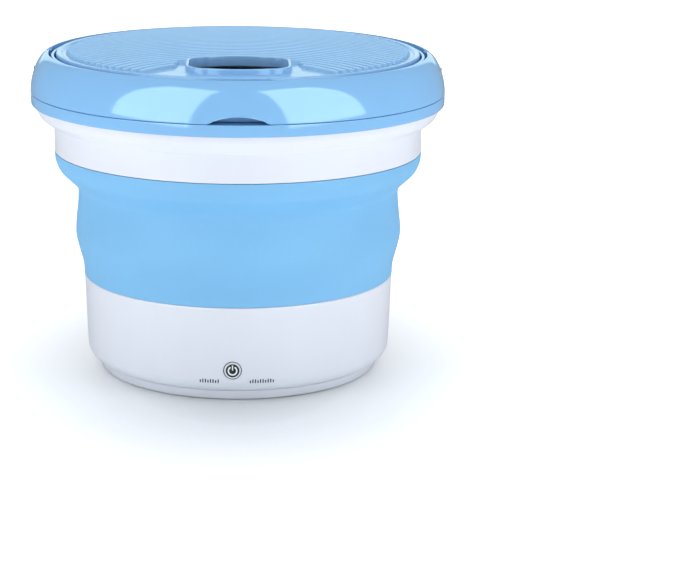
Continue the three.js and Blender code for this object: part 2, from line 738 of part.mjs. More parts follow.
function basePieces() {
  return [
    meshOf("base_shell", baseShell(), MATERIAL.white),
    meshOf("bottom_cover", bottomCover(), MATERIAL.white),
    ...padsAndScrews(),
    meshOf("tub_floor", tubFloor(), MATERIAL.white),
    meshOf("folding_wall", foldingWall(), MATERIAL.silicone),
    meshOf("drain_strainer", drainStrainer(), MATERIAL.steel),
    meshOf("drain_neck", drainNeck(), MATERIAL.nylon),
    meshOf("drain_elbow", drainElbow(), MATERIAL.nylon),
    meshOf("power_socket", powerSocket(), MATERIAL.black),
  ];
}

function uvPieces() {
  const lens = turned([[0, 0], [UV_R + 1.6, 0], [UV_R + 1.6, 0.8], [UV_R - 1, 1.8], [0, 1.8]], 16);
  const module = turned([[0, 0], [UV_R, 0], [UV_R, 5.6], [0, 5.6]], SMALL_SIDES);
  const [x, y] = round(DRAIN_Y, UV_ANGLE);
  return [
    at(meshOf("sterilizer_lens", lens, MATERIAL.lens), x, y, FLOOR_Z + GAP),
    at(meshOf("sterilizer_lamp", module, MATERIAL.black), x, y, FLOOR_Z - 6),
  ];
}

function controlPieces() {
  return [
    meshOf("control_board", controlBoard(), MATERIAL.board),
    meshOf("button_switch", onBoard(6, 2.3, -1, BUTTON_X), MATERIAL.black),
    meshOf("driver_chip", onBoard(9, 1.8, 1, 14), MATERIAL.black),
    ...Object.entries(LED_PLACES).map(([name, x]) => meshOf(name, led(x), MATERIAL.lens)),
  ];
}

function driveSupports() {
  const spacer = turned([[9, 0], [11, 0], [11, 6.4], [9, 6.4]], 16);
  const seal = turned([
    [SHAFT_R + GAP, 0],
    [9, 0],
    [9, 4.2],
    [7.4, 4.2],
    [6.4, 1.6],
    [SHAFT_R + GAP, 3.4],
  ], 16);
  const screwPlaces = POST_PLACES.map(([x, y]) => [x, y, BRACKET_Z + HEAD_RECESS - GAP]);
  return [
    at(meshOf("lower_bearing", bearing(), MATERIAL.steel), 0, 0, HUB_BOTTOM_Z + 0.4),
    at(meshOf("bearing_spacer", spacer, MATERIAL.nylon), 0, 0, 27.5),
    at(meshOf("upper_bearing", bearing(), MATERIAL.steel), 0, 0, 34.2),
    at(meshOf("shaft_seal", seal, MATERIAL.rubber), 0, 0, SEAL_SEAT_Z + GAP),
    meshOf("motor_bracket", motorBracket(), MATERIAL.zinc),
    at(meshOf("motor_housing", motorHousing(), MATERIAL.steel), MOTOR_X, 0, MOTOR_Z),
    ...copies("bracket_screw", screw(14), MATERIAL.steel, screwPlaces),
  ];
}

// The wires from the power socket to the board, and from the board to the plug on the motor's side.
function wiring() {
  const plugBody = solidOf(new THREE.BoxGeometry(9, 6, 7));
  const plug = cut(plugBody, cylinder(LEAD_R + 0.1, 9, [0, 0, 0], "y", 8));
  const motorRoute = through([
    [36, -27.3, 36],
    [35, -42, 35],
    [26, -56, 31],
    [14, -68, 26],
    [6.5, -77, 23],
    [5.5, -84.6, 22],
  ]);
  const socketRoute = through([
    [-39.5, 68.4, 24],
    [-36, 60, 24],
    [-40, 40, 24],
    [-58, 15, 24],
    [-64, -15, 24],
    [-63, -48, 23],
    [-44, -70, 22],
    [-18, -76, 22],
    [-18, -84.5, 22],
  ]);
  return [
    at(meshOf("motor_plug", plug, MATERIAL.nylon), MOTOR_X, -MOTOR_R - 3.4, 36),
    meshOf("motor_lead", rod(motorRoute, LEAD_R, 12, 6), MATERIAL.wire),
    meshOf("socket_lead", rod(socketRoute, LEAD_R, 16, 6), MATERIAL.wire),
  ];
}

function driveBody() {
  const shaft = turned([[0, 8.6], [SHAFT_R, 8.6], [SHAFT_R, 57.8], [0, 57.8]], 16);
  const cap = turned([[0, 58.8], [6.6, 58.8], [6.6, 60], [5, 61.6], [0, 62.2]], 16);
  const nut = turned([[0, 6.5], [6.4, 6.5], [6.4, 8.3], [0, 8.3]], 6);
  return group(
    meshOf("impeller", impeller(), MATERIAL.white),
    meshOf("impeller_cap", cap, MATERIAL.blue),
    meshOf("drive_shaft", shaft, MATERIAL.steel),
    meshOf("drive_gear", driveGear(), MATERIAL.nylon),
    meshOf("gear_nut", nut, MATERIAL.steel),
  );
}

function motorBody() {
  const shaft = turned([[0, GEAR_Z - 1], [1.0, GEAR_Z - 1], [1.0, 26.2], [0, 26.2]], 10);
  const made = group(
    meshOf("motor_pinion", motorPinion(), MATERIAL.zinc),
    meshOf("motor_shaft", shaft, MATERIAL.steel),
  );
  made.position.x = MOTOR_X;
  return made;
}

function collarBody() {
  return group(
    meshOf("upper_collar", upperCollar(), MATERIAL.white),
    meshOf("rim_ring", rimRing(), MATERIAL.blue),
    meshOf("handle_pin_left", handlePin(-1), MATERIAL.steel),
    meshOf("handle_pin_right", handlePin(1), MATERIAL.steel),
  );
}

const washer = group(
  group(...basePieces(), ...uvPieces(), ...controlPieces(), ...driveSupports(), ...wiring()),
  driveBody(),
  motorBody(),
  group(meshOf("power_button", powerButton(), MATERIAL.white)),
  group(meshOf("drain_plug", drainPlug(), MATERIAL.rubber)),
  collarBody(),
  group(meshOf("carry_handle", carryHandle(), MATERIAL.blue)),
  group(meshOf("lid_panel", lidPanel(), MATERIAL.blue), meshOf("lid_seal", lidSeal(), MATERIAL.silicone)),
);

export default washer;
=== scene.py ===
"""Looks of the portable mini washer. Lengths are millimetres in the row frame until a mesh is made."""

import json
import math

import bmesh
import bpy
import numpy as np
from mathutils import Matrix, Vector


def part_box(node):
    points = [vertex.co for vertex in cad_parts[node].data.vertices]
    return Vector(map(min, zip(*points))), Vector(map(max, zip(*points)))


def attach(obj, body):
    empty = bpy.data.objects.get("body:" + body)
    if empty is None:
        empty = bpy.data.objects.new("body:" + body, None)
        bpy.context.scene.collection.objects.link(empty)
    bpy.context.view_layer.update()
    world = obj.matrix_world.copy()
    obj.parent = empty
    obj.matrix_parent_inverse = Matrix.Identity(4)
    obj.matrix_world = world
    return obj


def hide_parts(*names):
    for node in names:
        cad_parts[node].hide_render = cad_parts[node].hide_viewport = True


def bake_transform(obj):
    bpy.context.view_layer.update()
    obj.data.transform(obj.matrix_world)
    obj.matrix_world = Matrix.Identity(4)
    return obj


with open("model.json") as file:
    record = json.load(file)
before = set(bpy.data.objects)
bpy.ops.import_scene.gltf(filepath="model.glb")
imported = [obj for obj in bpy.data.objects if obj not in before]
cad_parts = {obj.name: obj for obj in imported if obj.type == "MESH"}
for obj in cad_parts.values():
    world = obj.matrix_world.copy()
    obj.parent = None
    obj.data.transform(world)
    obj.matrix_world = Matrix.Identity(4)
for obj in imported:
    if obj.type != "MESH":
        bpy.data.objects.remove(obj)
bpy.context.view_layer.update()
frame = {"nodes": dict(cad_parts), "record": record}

MM = 0.001
TURN = 2 * math.pi


def box_mm(node):
    """A CAD node's lowest and highest corners, in millimetres."""
    low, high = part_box(node)
    return np.array(low) / MM, np.array(high) / MM


# ---------------------------------------------------------------- sizes taken from the frame

RIM_LOW, RIM_HIGH = box_mm("rim_ring")
COLLAR_LOW, COLLAR_HIGH = box_mm("upper_collar")
BASE_HIGH = box_mm("base_shell")[1]
COVER_LOW, COVER_HIGH = box_mm("bottom_cover")
WALL_LOW, WALL_HIGH = box_mm("folding_wall")
HANDLE_LOW = box_mm("carry_handle")[0]
LID_LOW, LID_HIGH = box_mm("lid_panel")
SEAL_LOW, SEAL_HIGH = box_mm("lid_seal")
FLOOR_LOW, FLOOR_HIGH = box_mm("tub_floor")
IMPELLER_LOW, IMPELLER_HIGH = box_mm("impeller")
BUTTON_LOW, BUTTON_HIGH = box_mm("power_button")
PLUG_LOW, PLUG_HIGH = box_mm("drain_plug")
PIN_LOW, PIN_HIGH = box_mm("handle_pin_left")

GAP = 0.3
SEGMENTS = 256  # facets of a large round piece

RIM_R = RIM_HIGH[0]
RIM_BOTTOM = RIM_LOW[2]
SHELF = HANDLE_LOW[2] - GAP  # the handle rests here
CREST = RIM_HIGH[2]
CREST_R = RIM_R - 11.5  # inner edge of the rim's crown
INNER_WALL_R = CREST_R - 1.6
INNER_WALL_TOP = CREST - 1.3
PIVOT_Z = (PIN_LOW[2] + PIN_HIGH[2]) / 2
PIVOT_END_R = PIVOT_Z - HANDLE_LOW[2]
CROWN_POWER = 2 / 1.8  # of the crown's superellipse

LID_R = LID_HIGH[0]
LID_CURVE = 2.34e-4  # fall of the crowned lid per millimetre of radius squared
LID_CROWN = CREST + 2.0  # height of the lid's surface on the axis
RIB_CENTRE_Y = -131
RIB_FIRST_R = 71
RIB_PITCH = 6.15
RIB_COUNT = 27
RIB_FIELD_R = 107.4
GRIP_Y = -78
GRIP_BOW = 3  # of the grip hole's front and back
GRIP_BACK_Y = GRIP_Y + 18.5 + GRIP_BOW
BOSS_WALL = 1.6  # thickness of the collar that stands round the grip hole

COLLAR_R = WALL_HIGH[0] + 0.1
FLANGE_R = COLLAR_HIGH[0]
FLANGE_TOP = RIM_BOTTOM - GAP
BASE_TOP_R = BASE_HIGH[0]
BASE_TOP = BASE_HIGH[2]
BASE_LOW_R = BASE_TOP_R - 1.6
CORNER_R = 10  # round lower corner of the casing
CORNER_Z = 16
CORNER_INSET = 6.2  # from the casing's side to the step above the foot
CASING_WALL = 2.5
BUTTON_X = (BUTTON_LOW[0] + BUTTON_HIGH[0]) / 2
BUTTON_Z = (BUTTON_LOW[2] + BUTTON_HIGH[2]) / 2
BUTTON_HOLE_R = 5.65
BUTTON_ANGLE = -math.pi / 2 + math.asin(BUTTON_X / BASE_LOW_R)
DRAIN_Z = (PLUG_LOW[2] + PLUG_HIGH[2]) / 2
DRAIN_HOLE_R = 7.8
SOCKET_ANGLE = math.radians(120)
SOCKET_Z = sum(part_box("power_socket")[i].z for i in (0, 1)) / 2 / MM
SOCKET_HOLE_R = 4.5


# ---------------------------------------------------------------- profiles and meshes


def rounded(corners, step=12):
    """A closed profile's corners as (r, z, radius), each rounded by an arc of that radius."""
    points = []
    for i, (r, z, radius) in enumerate(corners):
        here = np.array((r, z), float)
        if radius <= 0:
            points.append((r, z))
            continue
        back = np.array(corners[i - 1][:2], float) - here
        on = np.array(corners[(i + 1) % len(corners)][:2], float) - here
        room = 0.49 * min(np.linalg.norm(back), np.linalg.norm(on))
        back /= np.linalg.norm(back)
        on /= np.linalg.norm(on)
        half = math.acos(np.clip(back @ on, -1, 1)) / 2
        reach = min(radius / math.tan(half), room)
        centre = here + (back + on) / np.linalg.norm(back + on) * reach / math.cos(half)
        swing = math.pi - 2 * half
        first, last = here + back * reach - centre, here + on * reach - centre
        count = max(2, math.ceil(math.degrees(swing) / step))
        for k in range(count + 1):
            a = swing * k / count
            mixed = math.sin(swing - a) * first + math.sin(a) * last
            points.append(tuple(centre + mixed / math.sin(swing)))
    return points


def spline(points, per_span=6):
    """A smooth curve through the points (Catmull-Rom), both ends included."""
    p = np.array(points, float)
    p = np.vstack([2 * p[0] - p[1], p, 2 * p[-1] - p[-2]])
    out = []
    for i in range(1, len(p) - 2):
        for k in range(per_span):
            t = k / per_span
            a, b, c, d = p[i - 1 : i + 3]
            slope = (c - a) * t
            bend = (2 * a - 5 * b + 4 * c - d) * t**2
            twist = (3 * b - a - 3 * c + d) * t**3
            out.append(0.5 * (2 * b + slope + bend + twist))
    out.append(p[-2])
    return [tuple(q) for q in out]


def offset(points, distance):
    """An open profile moved sideways: to the left of its direction for a positive distance."""
    p = np.array(points, float)
    along = np.gradient(p, axis=0)
    along /= np.linalg.norm(along, axis=1)[:, None]
    return [tuple(q) for q in p + distance * np.stack([-along[:, 1], along[:, 0]], 1)]


def arc(cx, cy, radius, start, end, steps):
    """Points of an arc, both ends included, angles in degrees."""
    angles = np.radians(np.linspace(start, end, steps + 1))
    return [(cx + radius * math.cos(a), cy + radius * math.sin(a)) for a in angles]


def surface(grid, wrap_rows=False, wrap_columns=False, skip=None):
    """Vertices and quads of a grid of points, (rows, columns, 3). skip(row, column) leaves a quad out."""
    rows, columns = grid.shape[:2]
    quads = []
    for i in range(rows if wrap_rows else rows - 1):
        k = (i + 1) % rows
        for j in range(columns if wrap_columns else columns - 1):
            if skip and skip(i, j):
                continue
            m = (j + 1) % columns
            quads.append((i * columns + j, i * columns + m, k * columns + m, k * columns + j))
    return grid.reshape(-1, 3), quads


def swept(profile, segments):
    """The grid of points that a profile of (r, z) passes through as it turns about Z."""
    r, z = np.array(profile, float).T
    a = np.arange(segments) * TURN / segments
    return np.stack([np.outer(r, np.cos(a)), np.outer(r, np.sin(a)), np.outer(z, np.ones_like(a))], 2)


def turned(profile, segments=SEGMENTS, closed=True):
    """A solid of revolution about Z. A profile that starts and ends on the axis isn't closed."""
    return surface(swept(profile, segments), wrap_rows=closed, wrap_columns=True)


def placed(part, matrix):
    """A part moved by a matrix whose lengths are millimetres."""
    points, quads = part
    m = np.array(matrix)
    return points @ m[:3, :3].T + m[:3, 3], quads


def piece(name, parts, slot, body, replaces=(), sharp=32, material=None):
    """One object made of parts, each (points, faces), with duplicate points merged and normals turned out.

    It has its slot's finish, unless another material is given. Edges over sharp degrees stay sharp.
    """
    points, faces, start = [], [], 0
    for p, f in parts:
        points.append(np.asarray(p, float))
        faces += [[i + start for i in face] for face in f]
        start += len(p)
    mesh = bpy.data.meshes.new(name)
    mesh.from_pydata((np.vstack(points) * MM).tolist(), [], faces)
    bm = bmesh.new()
    bm.from_mesh(mesh)
    bmesh.ops.remove_doubles(bm, verts=bm.verts, dist=2e-6)
    bmesh.ops.dissolve_degenerate(bm, edges=bm.edges, dist=1e-6)
    loose = [v for v in bm.verts if not v.link_faces]
    bmesh.ops.delete(bm, geom=loose, context="VERTS")
    bmesh.ops.recalc_face_normals(bm, faces=bm.faces)
    bm.to_mesh(mesh)
    bm.free()
    mesh.shade_smooth()
    mesh.set_sharp_from_angle(angle=math.radians(sharp))
    made = bpy.data.objects.new(name, mesh)
    bpy.context.scene.collection.objects.link(made)
    made.data.materials.append(material or FINISH[slot])
    if body:
        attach(made, body)
    if replaces:
        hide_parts(*replaces)
    return made


# ---------------------------------------------------------------- materials


class Nodes:
    """A material's node tree, with short calls for the textures that the finishes are built from."""

    def __init__(self, name, metallic=0.0, ior=1.5):
        self.material = bpy.data.materials.new(name)
        self.material.use_nodes = True
        self.tree = self.material.node_tree
        self.shader = self.tree.nodes["Principled BSDF"]
        self.shader.inputs["Metallic"].default_value = metallic
        self.shader.inputs["IOR"].default_value = ior
        self.where = self.new("ShaderNodeTexCoord").outputs["Object"]

    def new(self, kind, **inputs):
        node = self.tree.nodes.new(kind)
        for key, value in inputs.items():
            node.inputs[key].default_value = value
        return node

    def link(self, source, target):
        self.tree.links.new(source, target)

    def noise(self, scale, detail=3.0, rough=0.5, stretch=None):
        node = self.new("ShaderNodeTexNoise", Scale=scale, Detail=detail, Roughness=rough)
        where = self.where
        if stretch:
            mapping = self.new("ShaderNodeMapping")
            mapping.inputs["Scale"].default_value = stretch
            self.link(where, mapping.inputs["Vector"])
            where = mapping.outputs["Vector"]
        self.link(where, node.inputs["Vector"])
        return node.outputs["Fac"]

    def spread(self, value, from_low, from_high, to_low, to_high):
        limits = {"From Min": from_low, "From Max": from_high, "To Min": to_low, "To Max": to_high}
        node = self.new("ShaderNodeMapRange", **limits)
        self.link(value, node.inputs["Value"])
        return node.outputs["Result"]

    def math(self, kind, a, b):
        node = self.new("ShaderNodeMath")
        node.operation = kind
        for socket, value in zip(node.inputs, (a, b)):
            if isinstance(value, (int, float)):
                socket.default_value = value
            else:
                self.link(value, socket)
        return node.outputs["Value"]

    def mix(self, factor, a, b):
        node = self.new("ShaderNodeMix")
        node.data_type = "RGBA"
        for socket, value in zip((node.inputs[0], node.inputs[6], node.inputs[7]), (factor, a, b)):
            if isinstance(value, tuple):
                socket.default_value = (*value, 1.0)
            else:
                self.link(value, socket)
        return node.outputs[2]

    def bump(self, height, strength, distance, after=None):
        node = self.new("ShaderNodeBump", Strength=strength, Distance=distance)
        self.link(height, node.inputs["Height"])
        if after:
            self.link(after, node.inputs["Normal"])
        return node.outputs["Normal"]

    def edges(self):
        """1 on convex edges, 0 on flat surfaces."""
        pointiness = self.new("ShaderNodeNewGeometry").outputs["Pointiness"]
        return self.spread(pointiness, 0.56, 0.68, 0.0, 1.0)

    def finish(self, color, roughness, normal):
        self.link(color, self.shader.inputs["Base Color"])
        self.link(roughness, self.shader.inputs["Roughness"])
        self.link(normal, self.shader.inputs["Normal"])
        return self.material


def linear(*srgb):
    """A colour given in 0 to 255 sRGB, as linear light."""
    return tuple(v / 255 / 12.92 if v <= 10 else ((v / 255 + 0.055) / 1.055) ** 2.4 for v in srgb)


def scaled(color, factor):
    return tuple(min(1.0, c * factor) for c in color)


def moulded(name, color, roughness, grain=900, grain_depth=2e-5, wear_and_highlight=0.25, flow=0.02, ior=1.5):
    """Injection-moulded plastic: fine spark-eroded grain, faint flow lines, hand marks, and convex edges
    painted paler in patches, partly as worn plastic and partly as a painted highlight.
    """
    n = Nodes(name, ior=ior)
    flow_lines = n.noise(14, 4, 0.55, stretch=(1, 1, 0.3))
    marks = n.noise(38, 3, 0.5)
    fine = n.noise(grain, 2, 0.6)
    broad = n.noise(26, 3, 0.5)
    base = n.mix(n.spread(flow_lines, 0.35, 0.65, 0, 1), scaled(color, 1 - flow), scaled(color, 1 + flow))
    # convex edges painted paler in patches: partly worn plastic, partly a painted highlight standing in for
    # the light that the edges catch
    worn_and_highlit_edges = n.math("MULTIPLY", n.edges(), n.spread(marks, 0.45, 0.65, 0.0, wear_and_highlight))
    tint = n.mix(worn_and_highlit_edges, base, scaled(color, 1.25))
    worn = n.math("MULTIPLY", worn_and_highlit_edges, 0.1)
    rough = n.math("ADD", n.spread(marks, 0.3, 0.7, roughness * 0.94, roughness * 1.08), worn)
    normal = n.bump(fine, 0.35, grain_depth, after=n.bump(broad, 0.25, grain_depth * 6))
    return n.finish(tint, rough, normal)


def let_light_through(material, weight):
    """Thin walls glow a little, as blue plastic and silicone do."""
    shader = material.node_tree.nodes["Principled BSDF"]
    shader.inputs["Subsurface Weight"].default_value = weight
    shader.inputs["Subsurface Radius"].default_value = (0.7, 0.9, 1.0)
    shader.inputs["Subsurface Scale"].default_value = 0.003


def soft_touch(name, color, roughness=0.5, subsurface=0.12):
    """Silicone: an even matte skin with fine pits, a little dust and a little light passing through."""
    n = Nodes(name, ior=1.4)
    cloud = n.noise(9, 3, 0.5)
    dust = n.spread(n.noise(420, 3, 0.7), 0.62, 0.8, 0, 0.35)
    pits = n.noise(1400, 2, 0.55)
    drape = n.noise(18, 2, 0.5, stretch=(1, 1, 0.5))
    base = n.mix(n.spread(cloud, 0.35, 0.65, 0, 1), scaled(color, 0.97), scaled(color, 1.03))
    tint = n.mix(n.math("MULTIPLY", dust, 0.25), base, (0.82, 0.86, 0.9))
    rough = n.spread(n.noise(60, 4, 0.6), 0.3, 0.7, roughness * 0.88, roughness * 1.12)
    normal = n.bump(pits, 0.4, 2.5e-5, after=n.bump(drape, 0.3, 4e-4))
    let_light_through(n.material, subsurface)
    return n.finish(tint, rough, normal)


def brushed(name, color, roughness, stretch=(1, 1, 40)):
    """Turned or ground metal: fine lines along one direction, with duller patches."""
    n = Nodes(name, metallic=1.0)
    lines = n.noise(300, 4, 0.6, stretch=stretch)
    patches = n.noise(70, 4, 0.6)
    base = n.mix(n.spread(patches, 0.3, 0.7, 0, 1), scaled(color, 0.85), scaled(color, 1.08))
    duller = n.spread(patches, 0.4, 0.7, 0, 0.12)
    rough = n.math("ADD", n.spread(lines, 0.3, 0.7, roughness * 0.7, roughness * 1.2), duller)
    return n.finish(base, rough, n.bump(lines, 0.3, 3e-5))


def board_finish():
    """Green solder mask with copper tracks showing through."""
    n = Nodes("solder_mask")
    tracks = n.new("ShaderNodeTexBrick", Scale=260.0)
    tracks.inputs["Mortar Size"].default_value = 0.03
    n.link(n.where, tracks.inputs["Vector"])
    cloth = n.noise(900, 2, 0.5)
    shown = n.mix(tracks.outputs["Fac"], (0.015, 0.14, 0.05), (0.05, 0.27, 0.1))
    tint = n.mix(n.spread(cloth, 0.3, 0.7, 0, 0.3), shown, (0.01, 0.1, 0.04))
    return n.finish(tint, n.spread(cloth, 0.3, 0.7, 0.25, 0.45), n.bump(tracks.outputs["Fac"], 0.4, 5e-5))


BLUE = linear(131, 187, 236)
SILICONE = linear(124, 187, 234)
WHITE = linear(226, 230, 241)

LID_BLUE = moulded("blue_lid_moulded", linear(142, 191, 236), 0.13, wear_and_highlight=0.06)
let_light_through(LID_BLUE, 0.3)
FINISH = {
    "blue_plastic": moulded("blue_moulded", BLUE, 0.09, wear_and_highlight=0.1, ior=1.7),
    "blue_silicone": soft_touch("blue_silicone_skin", SILICONE),
    "white_casing": moulded("white_moulded", WHITE, 0.3, wear_and_highlight=0.1),
    "white_moulding": moulded("white_inner", WHITE, 0.42, grain=700, wear_and_highlight=0.1),
    "rubber": soft_touch("rubber_skin", (0.035, 0.036, 0.04), 0.75, 0.0),
    "black_plastic": moulded("black_moulded", (0.012, 0.012, 0.015), 0.4, grain=1200),
    "circuit_board": board_finish(),
    "nylon": moulded("nylon_natural", (0.78, 0.74, 0.62), 0.5, grain=600),
    "lens": moulded("lens_tinted", (0.35, 0.38, 0.9), 0.08, grain=400, grain_depth=5e-6),
    "steel": brushed("steel_ground", (0.55, 0.56, 0.58), 0.28),
    "zinc": brushed("zinc_cast", (0.42, 0.44, 0.47), 0.45, stretch=(1, 1, 1)),
    "wire_sleeve": soft_touch("wire_skin", (0.45, 0.02, 0.02), 0.5, 0.0),
}
PRINT_DARK = moulded("printed_dark", linear(30, 31, 38), 0.4, grain=1500, wear_and_highlight=0.0)
PRINT_WHITE = moulded("printed_white", linear(240, 242, 248), 0.4, grain=1500, wear_and_highlight=0.0)


def finish_carried_nodes():
    """Every CAD node that is still shown takes its slot's finish."""
    slots = {s["node"]: s["material_slot"] for s in frame["record"]["subparts"]}
    for name, node in frame["nodes"].items():
        node.data.materials.clear()
        node.data.materials.append(FINISH[slots[name]])


# ---------------------------------------------------------------- base


def base_outer():
    """The casing's outer face from its top down to the step above the foot: (r, z)."""
    centre_r = BASE_LOW_R - CORNER_R
    stop = -math.degrees(math.acos((BASE_LOW_R - CORNER_INSET - centre_r) / CORNER_R))
    straight = [
        (BASE_LOW_R + (BASE_TOP_R - BASE_LOW_R) * t, CORNER_Z + (BASE_TOP - 0.5 - CORNER_Z) * t)
        for t in np.linspace(1, 0, 28)
    ]
    top_edge = [(BASE_TOP_R - 0.5, BASE_TOP), (BASE_TOP_R - 0.15, BASE_TOP - 0.15)]
    return top_edge + straight + arc(centre_r, CORNER_Z, CORNER_R, 0, stop, 9)[1:]


def punched_casing(holes, columns=384):
    """The casing turned from its profile, with round holes (angle, z, radius) let through its wall."""
    outer = base_outer()
    inner = offset(outer, -CASING_WALL)[::-1]
    inner[-1] = (BASE_TOP_R - CASING_WALL, BASE_TOP)
    inner[0] = (outer[-1][0], outer[-1][1] + CASING_WALL * 0.9)
    grid = swept(outer + inner, columns)
    z = grid[:, 0, 2]
    face_r, face_z = np.array(outer)[::-1].T
    rows = len(z)
    points, quads, removed = [grid.reshape(-1, 3)], [], set()
    made = rows * columns
    margin = 3.0  # from the hole's edge to the edge of the patch
    for angle, height, radius in holes:
        # a patch of the grid is taken out, and rings lead from its edge to the hole and through the wall
        reach = radius + margin
        half = round(reach / (BASE_LOW_R * TURN / columns))
        middle = round((angle % TURN) / TURN * columns)
        near = [i for i in range(len(outer)) if abs(z[i] - height) < reach]
        top, bottom, left, right = near[0], near[-1], middle - half, middle + half
        walk = [(top, j) for j in range(left, right)] + [(i, right) for i in range(top, bottom)]
        walk += [(bottom, j) for j in range(right, left, -1)] + [(i, left) for i in range(bottom, top, -1)]
        for i in range(top, bottom):
            removed.update((row, j % columns) for row in (i, rows - 2 - i) for j in range(left, right))
        aside = np.array([(j * TURN / columns - angle % TURN) * BASE_LOW_R for _, j in walk])
        turn = np.arctan2(np.array([z[i] for i, _ in walk]) - height, aside)
        loops = [[i * columns + j % columns for i, j in walk]]
        for wider, depth in ((1.6, 0), (0.4, 0), (0.1, 0.1), (0, 0.35), (0, CASING_WALL)):
            size = radius + wider
            h = height + size * np.sin(turn)
            ring_r = np.interp(h, face_z, face_r)
            a = angle + size * np.cos(turn) / ring_r
            points.append(np.stack([(ring_r - depth) * np.cos(a), (ring_r - depth) * np.sin(a), h], 1))
            loops.append(list(range(made, made + len(walk))))
            made += len(walk)
        loops.append([(rows - 1 - i) * columns + j % columns for i, j in walk])
        for one, two in zip(loops, loops[1:]):
            quads += [(one[k], one[k - 1], two[k - 1], two[k]) for k in range(len(walk))]
    sheet = surface(grid, True, True, skip=lambda i, j: (i, j) in removed)
    return np.vstack(points), sheet[1] + quads


def make_base_casing():
    holes = [
        (BUTTON_ANGLE, BUTTON_Z, BUTTON_HOLE_R),
        (math.pi / 2, DRAIN_Z, DRAIN_HOLE_R),
        (SOCKET_ANGLE, SOCKET_Z, SOCKET_HOLE_R),
    ]
    piece("base_casing", [punched_casing(holes)], "white_casing", "base", ["base_shell"])


def make_bottom_cover():
    edge_r, top = COVER_HIGH[0], COVER_HIGH[2]
    foot_r, foot_inner_r = edge_r - 2.3, edge_r - 12.9
    foot = 0.5
    plate = COVER_LOW[2] + 2.5
    inside = plate + 2.5
    profile = rounded([
        (foot_inner_r, foot, 0.8), (foot_r, foot, 0.7), (edge_r, plate + 3, 0.15),
        (edge_r - 1.3, plate + 3, 0), (edge_r - 1.3, top, 0.4), (edge_r - 3.3, top, 0.4),
        (edge_r - 3.3, inside, 0.3), (0, inside, 0), (0, plate, 0), (foot_inner_r, plate, 0.6),
    ])
    parts = [turned(profile)]
    # concentric stiffening beads on the underside
    for bead_r in (22, 40, 58):
        parts.append(turned(rounded([
            (bead_r - 1.4, plate + 0.4, 0), (bead_r - 0.7, plate - 0.8, 0.4),
            (bead_r + 0.7, plate - 0.8, 0.4), (bead_r + 1.4, plate + 0.4, 0),
        ]), 128))
    piece("bottom_plate", parts, "white_casing", "base", ["bottom_cover"])


def make_feet():
    for i in range(1, 5):
        name = f"rubber_foot_{i}"
        low, high = box_mm(name)
        r = (high[0] - low[0]) / 2
        tread = [(r * t, 0.25 * (k % 2)) for k, t in enumerate(np.linspace(0, 0.8, 7))]
        profile = tread + rounded([(r, 0, 0.5), (r, high[2], 0.3), (0, high[2], 0)])[:-1] + [(0, high[2])]
        spot = Matrix.Translation(((low[0] + high[0]) / 2, (low[1] + high[1]) / 2, 0))
        piece(f"foot_pad_{i}", [placed(turned(profile, 48, False), spot)], "rubber", "base", [name])


def cross_recess(size, depth, z):
    """The faces of a cross-shaped driver recess, as a closed part to lay on a screw head."""
    w, r = size * 0.22, size
    quarter = [(w, w), (w, r), (-w, r)]
    outline = []
    for _ in range(4):
        outline += quarter
        quarter = [(-y, x) for x, y in quarter]
    rim = np.array([(x, y, z) for x, y in outline])
    bottom = np.array([(x * 0.75, y * 0.75, z + depth) for x, y in outline])
    count = len(outline)
    sides = [(k, (k + 1) % count, count + (k + 1) % count, count + k) for k in range(count)]
    return np.vstack([rim, bottom]), sides + [tuple(range(count)), tuple(range(count, 2 * count))[::-1]]


def make_cover_screws():
    for i in range(1, 5):
        name = f"cover_screw_{i}"
        low, high = box_mm(name)
        profile = [(0, 0), (1.4, 0.05), (2.2, 0.3), (2.75, 0.8), (3.0, 1.5), (1.5, 1.5)]
        for k in range(9):
            profile += [(1.5, 2 + 1.4 * k), (1.15, 2.7 + 1.4 * k)]
        profile += [(1.15, high[2] - low[2] - 1), (0, high[2] - low[2])]
        spot = Matrix.Translation(((low[0] + high[0]) / 2, (low[1] + high[1]) / 2, low[2]))
        screw = piece(f"plate_screw_{i}", [placed(turned(profile, 40, False), spot)], "steel", "base", [name])
        cutter = piece("cutter", [placed(cross_recess(1.7, 1.1, -0.3), spot)], "steel", None)
        cut_with(screw, cutter)


def cut_with(target, cutter):
    """Takes the cutter out of the target for good, and removes the cutter."""
    boolean = target.modifiers.new("cut", "BOOLEAN")
    boolean.object = cutter
    boolean.operation = "DIFFERENCE"
    boolean.solver = "EXACT"
    bpy.context.view_layer.update()
    result = bpy.data.meshes.new_from_object(target.evaluated_get(bpy.context.evaluated_depsgraph_get()))
    target.modifiers.clear()
    target.data = result
    bpy.data.objects.remove(cutter)


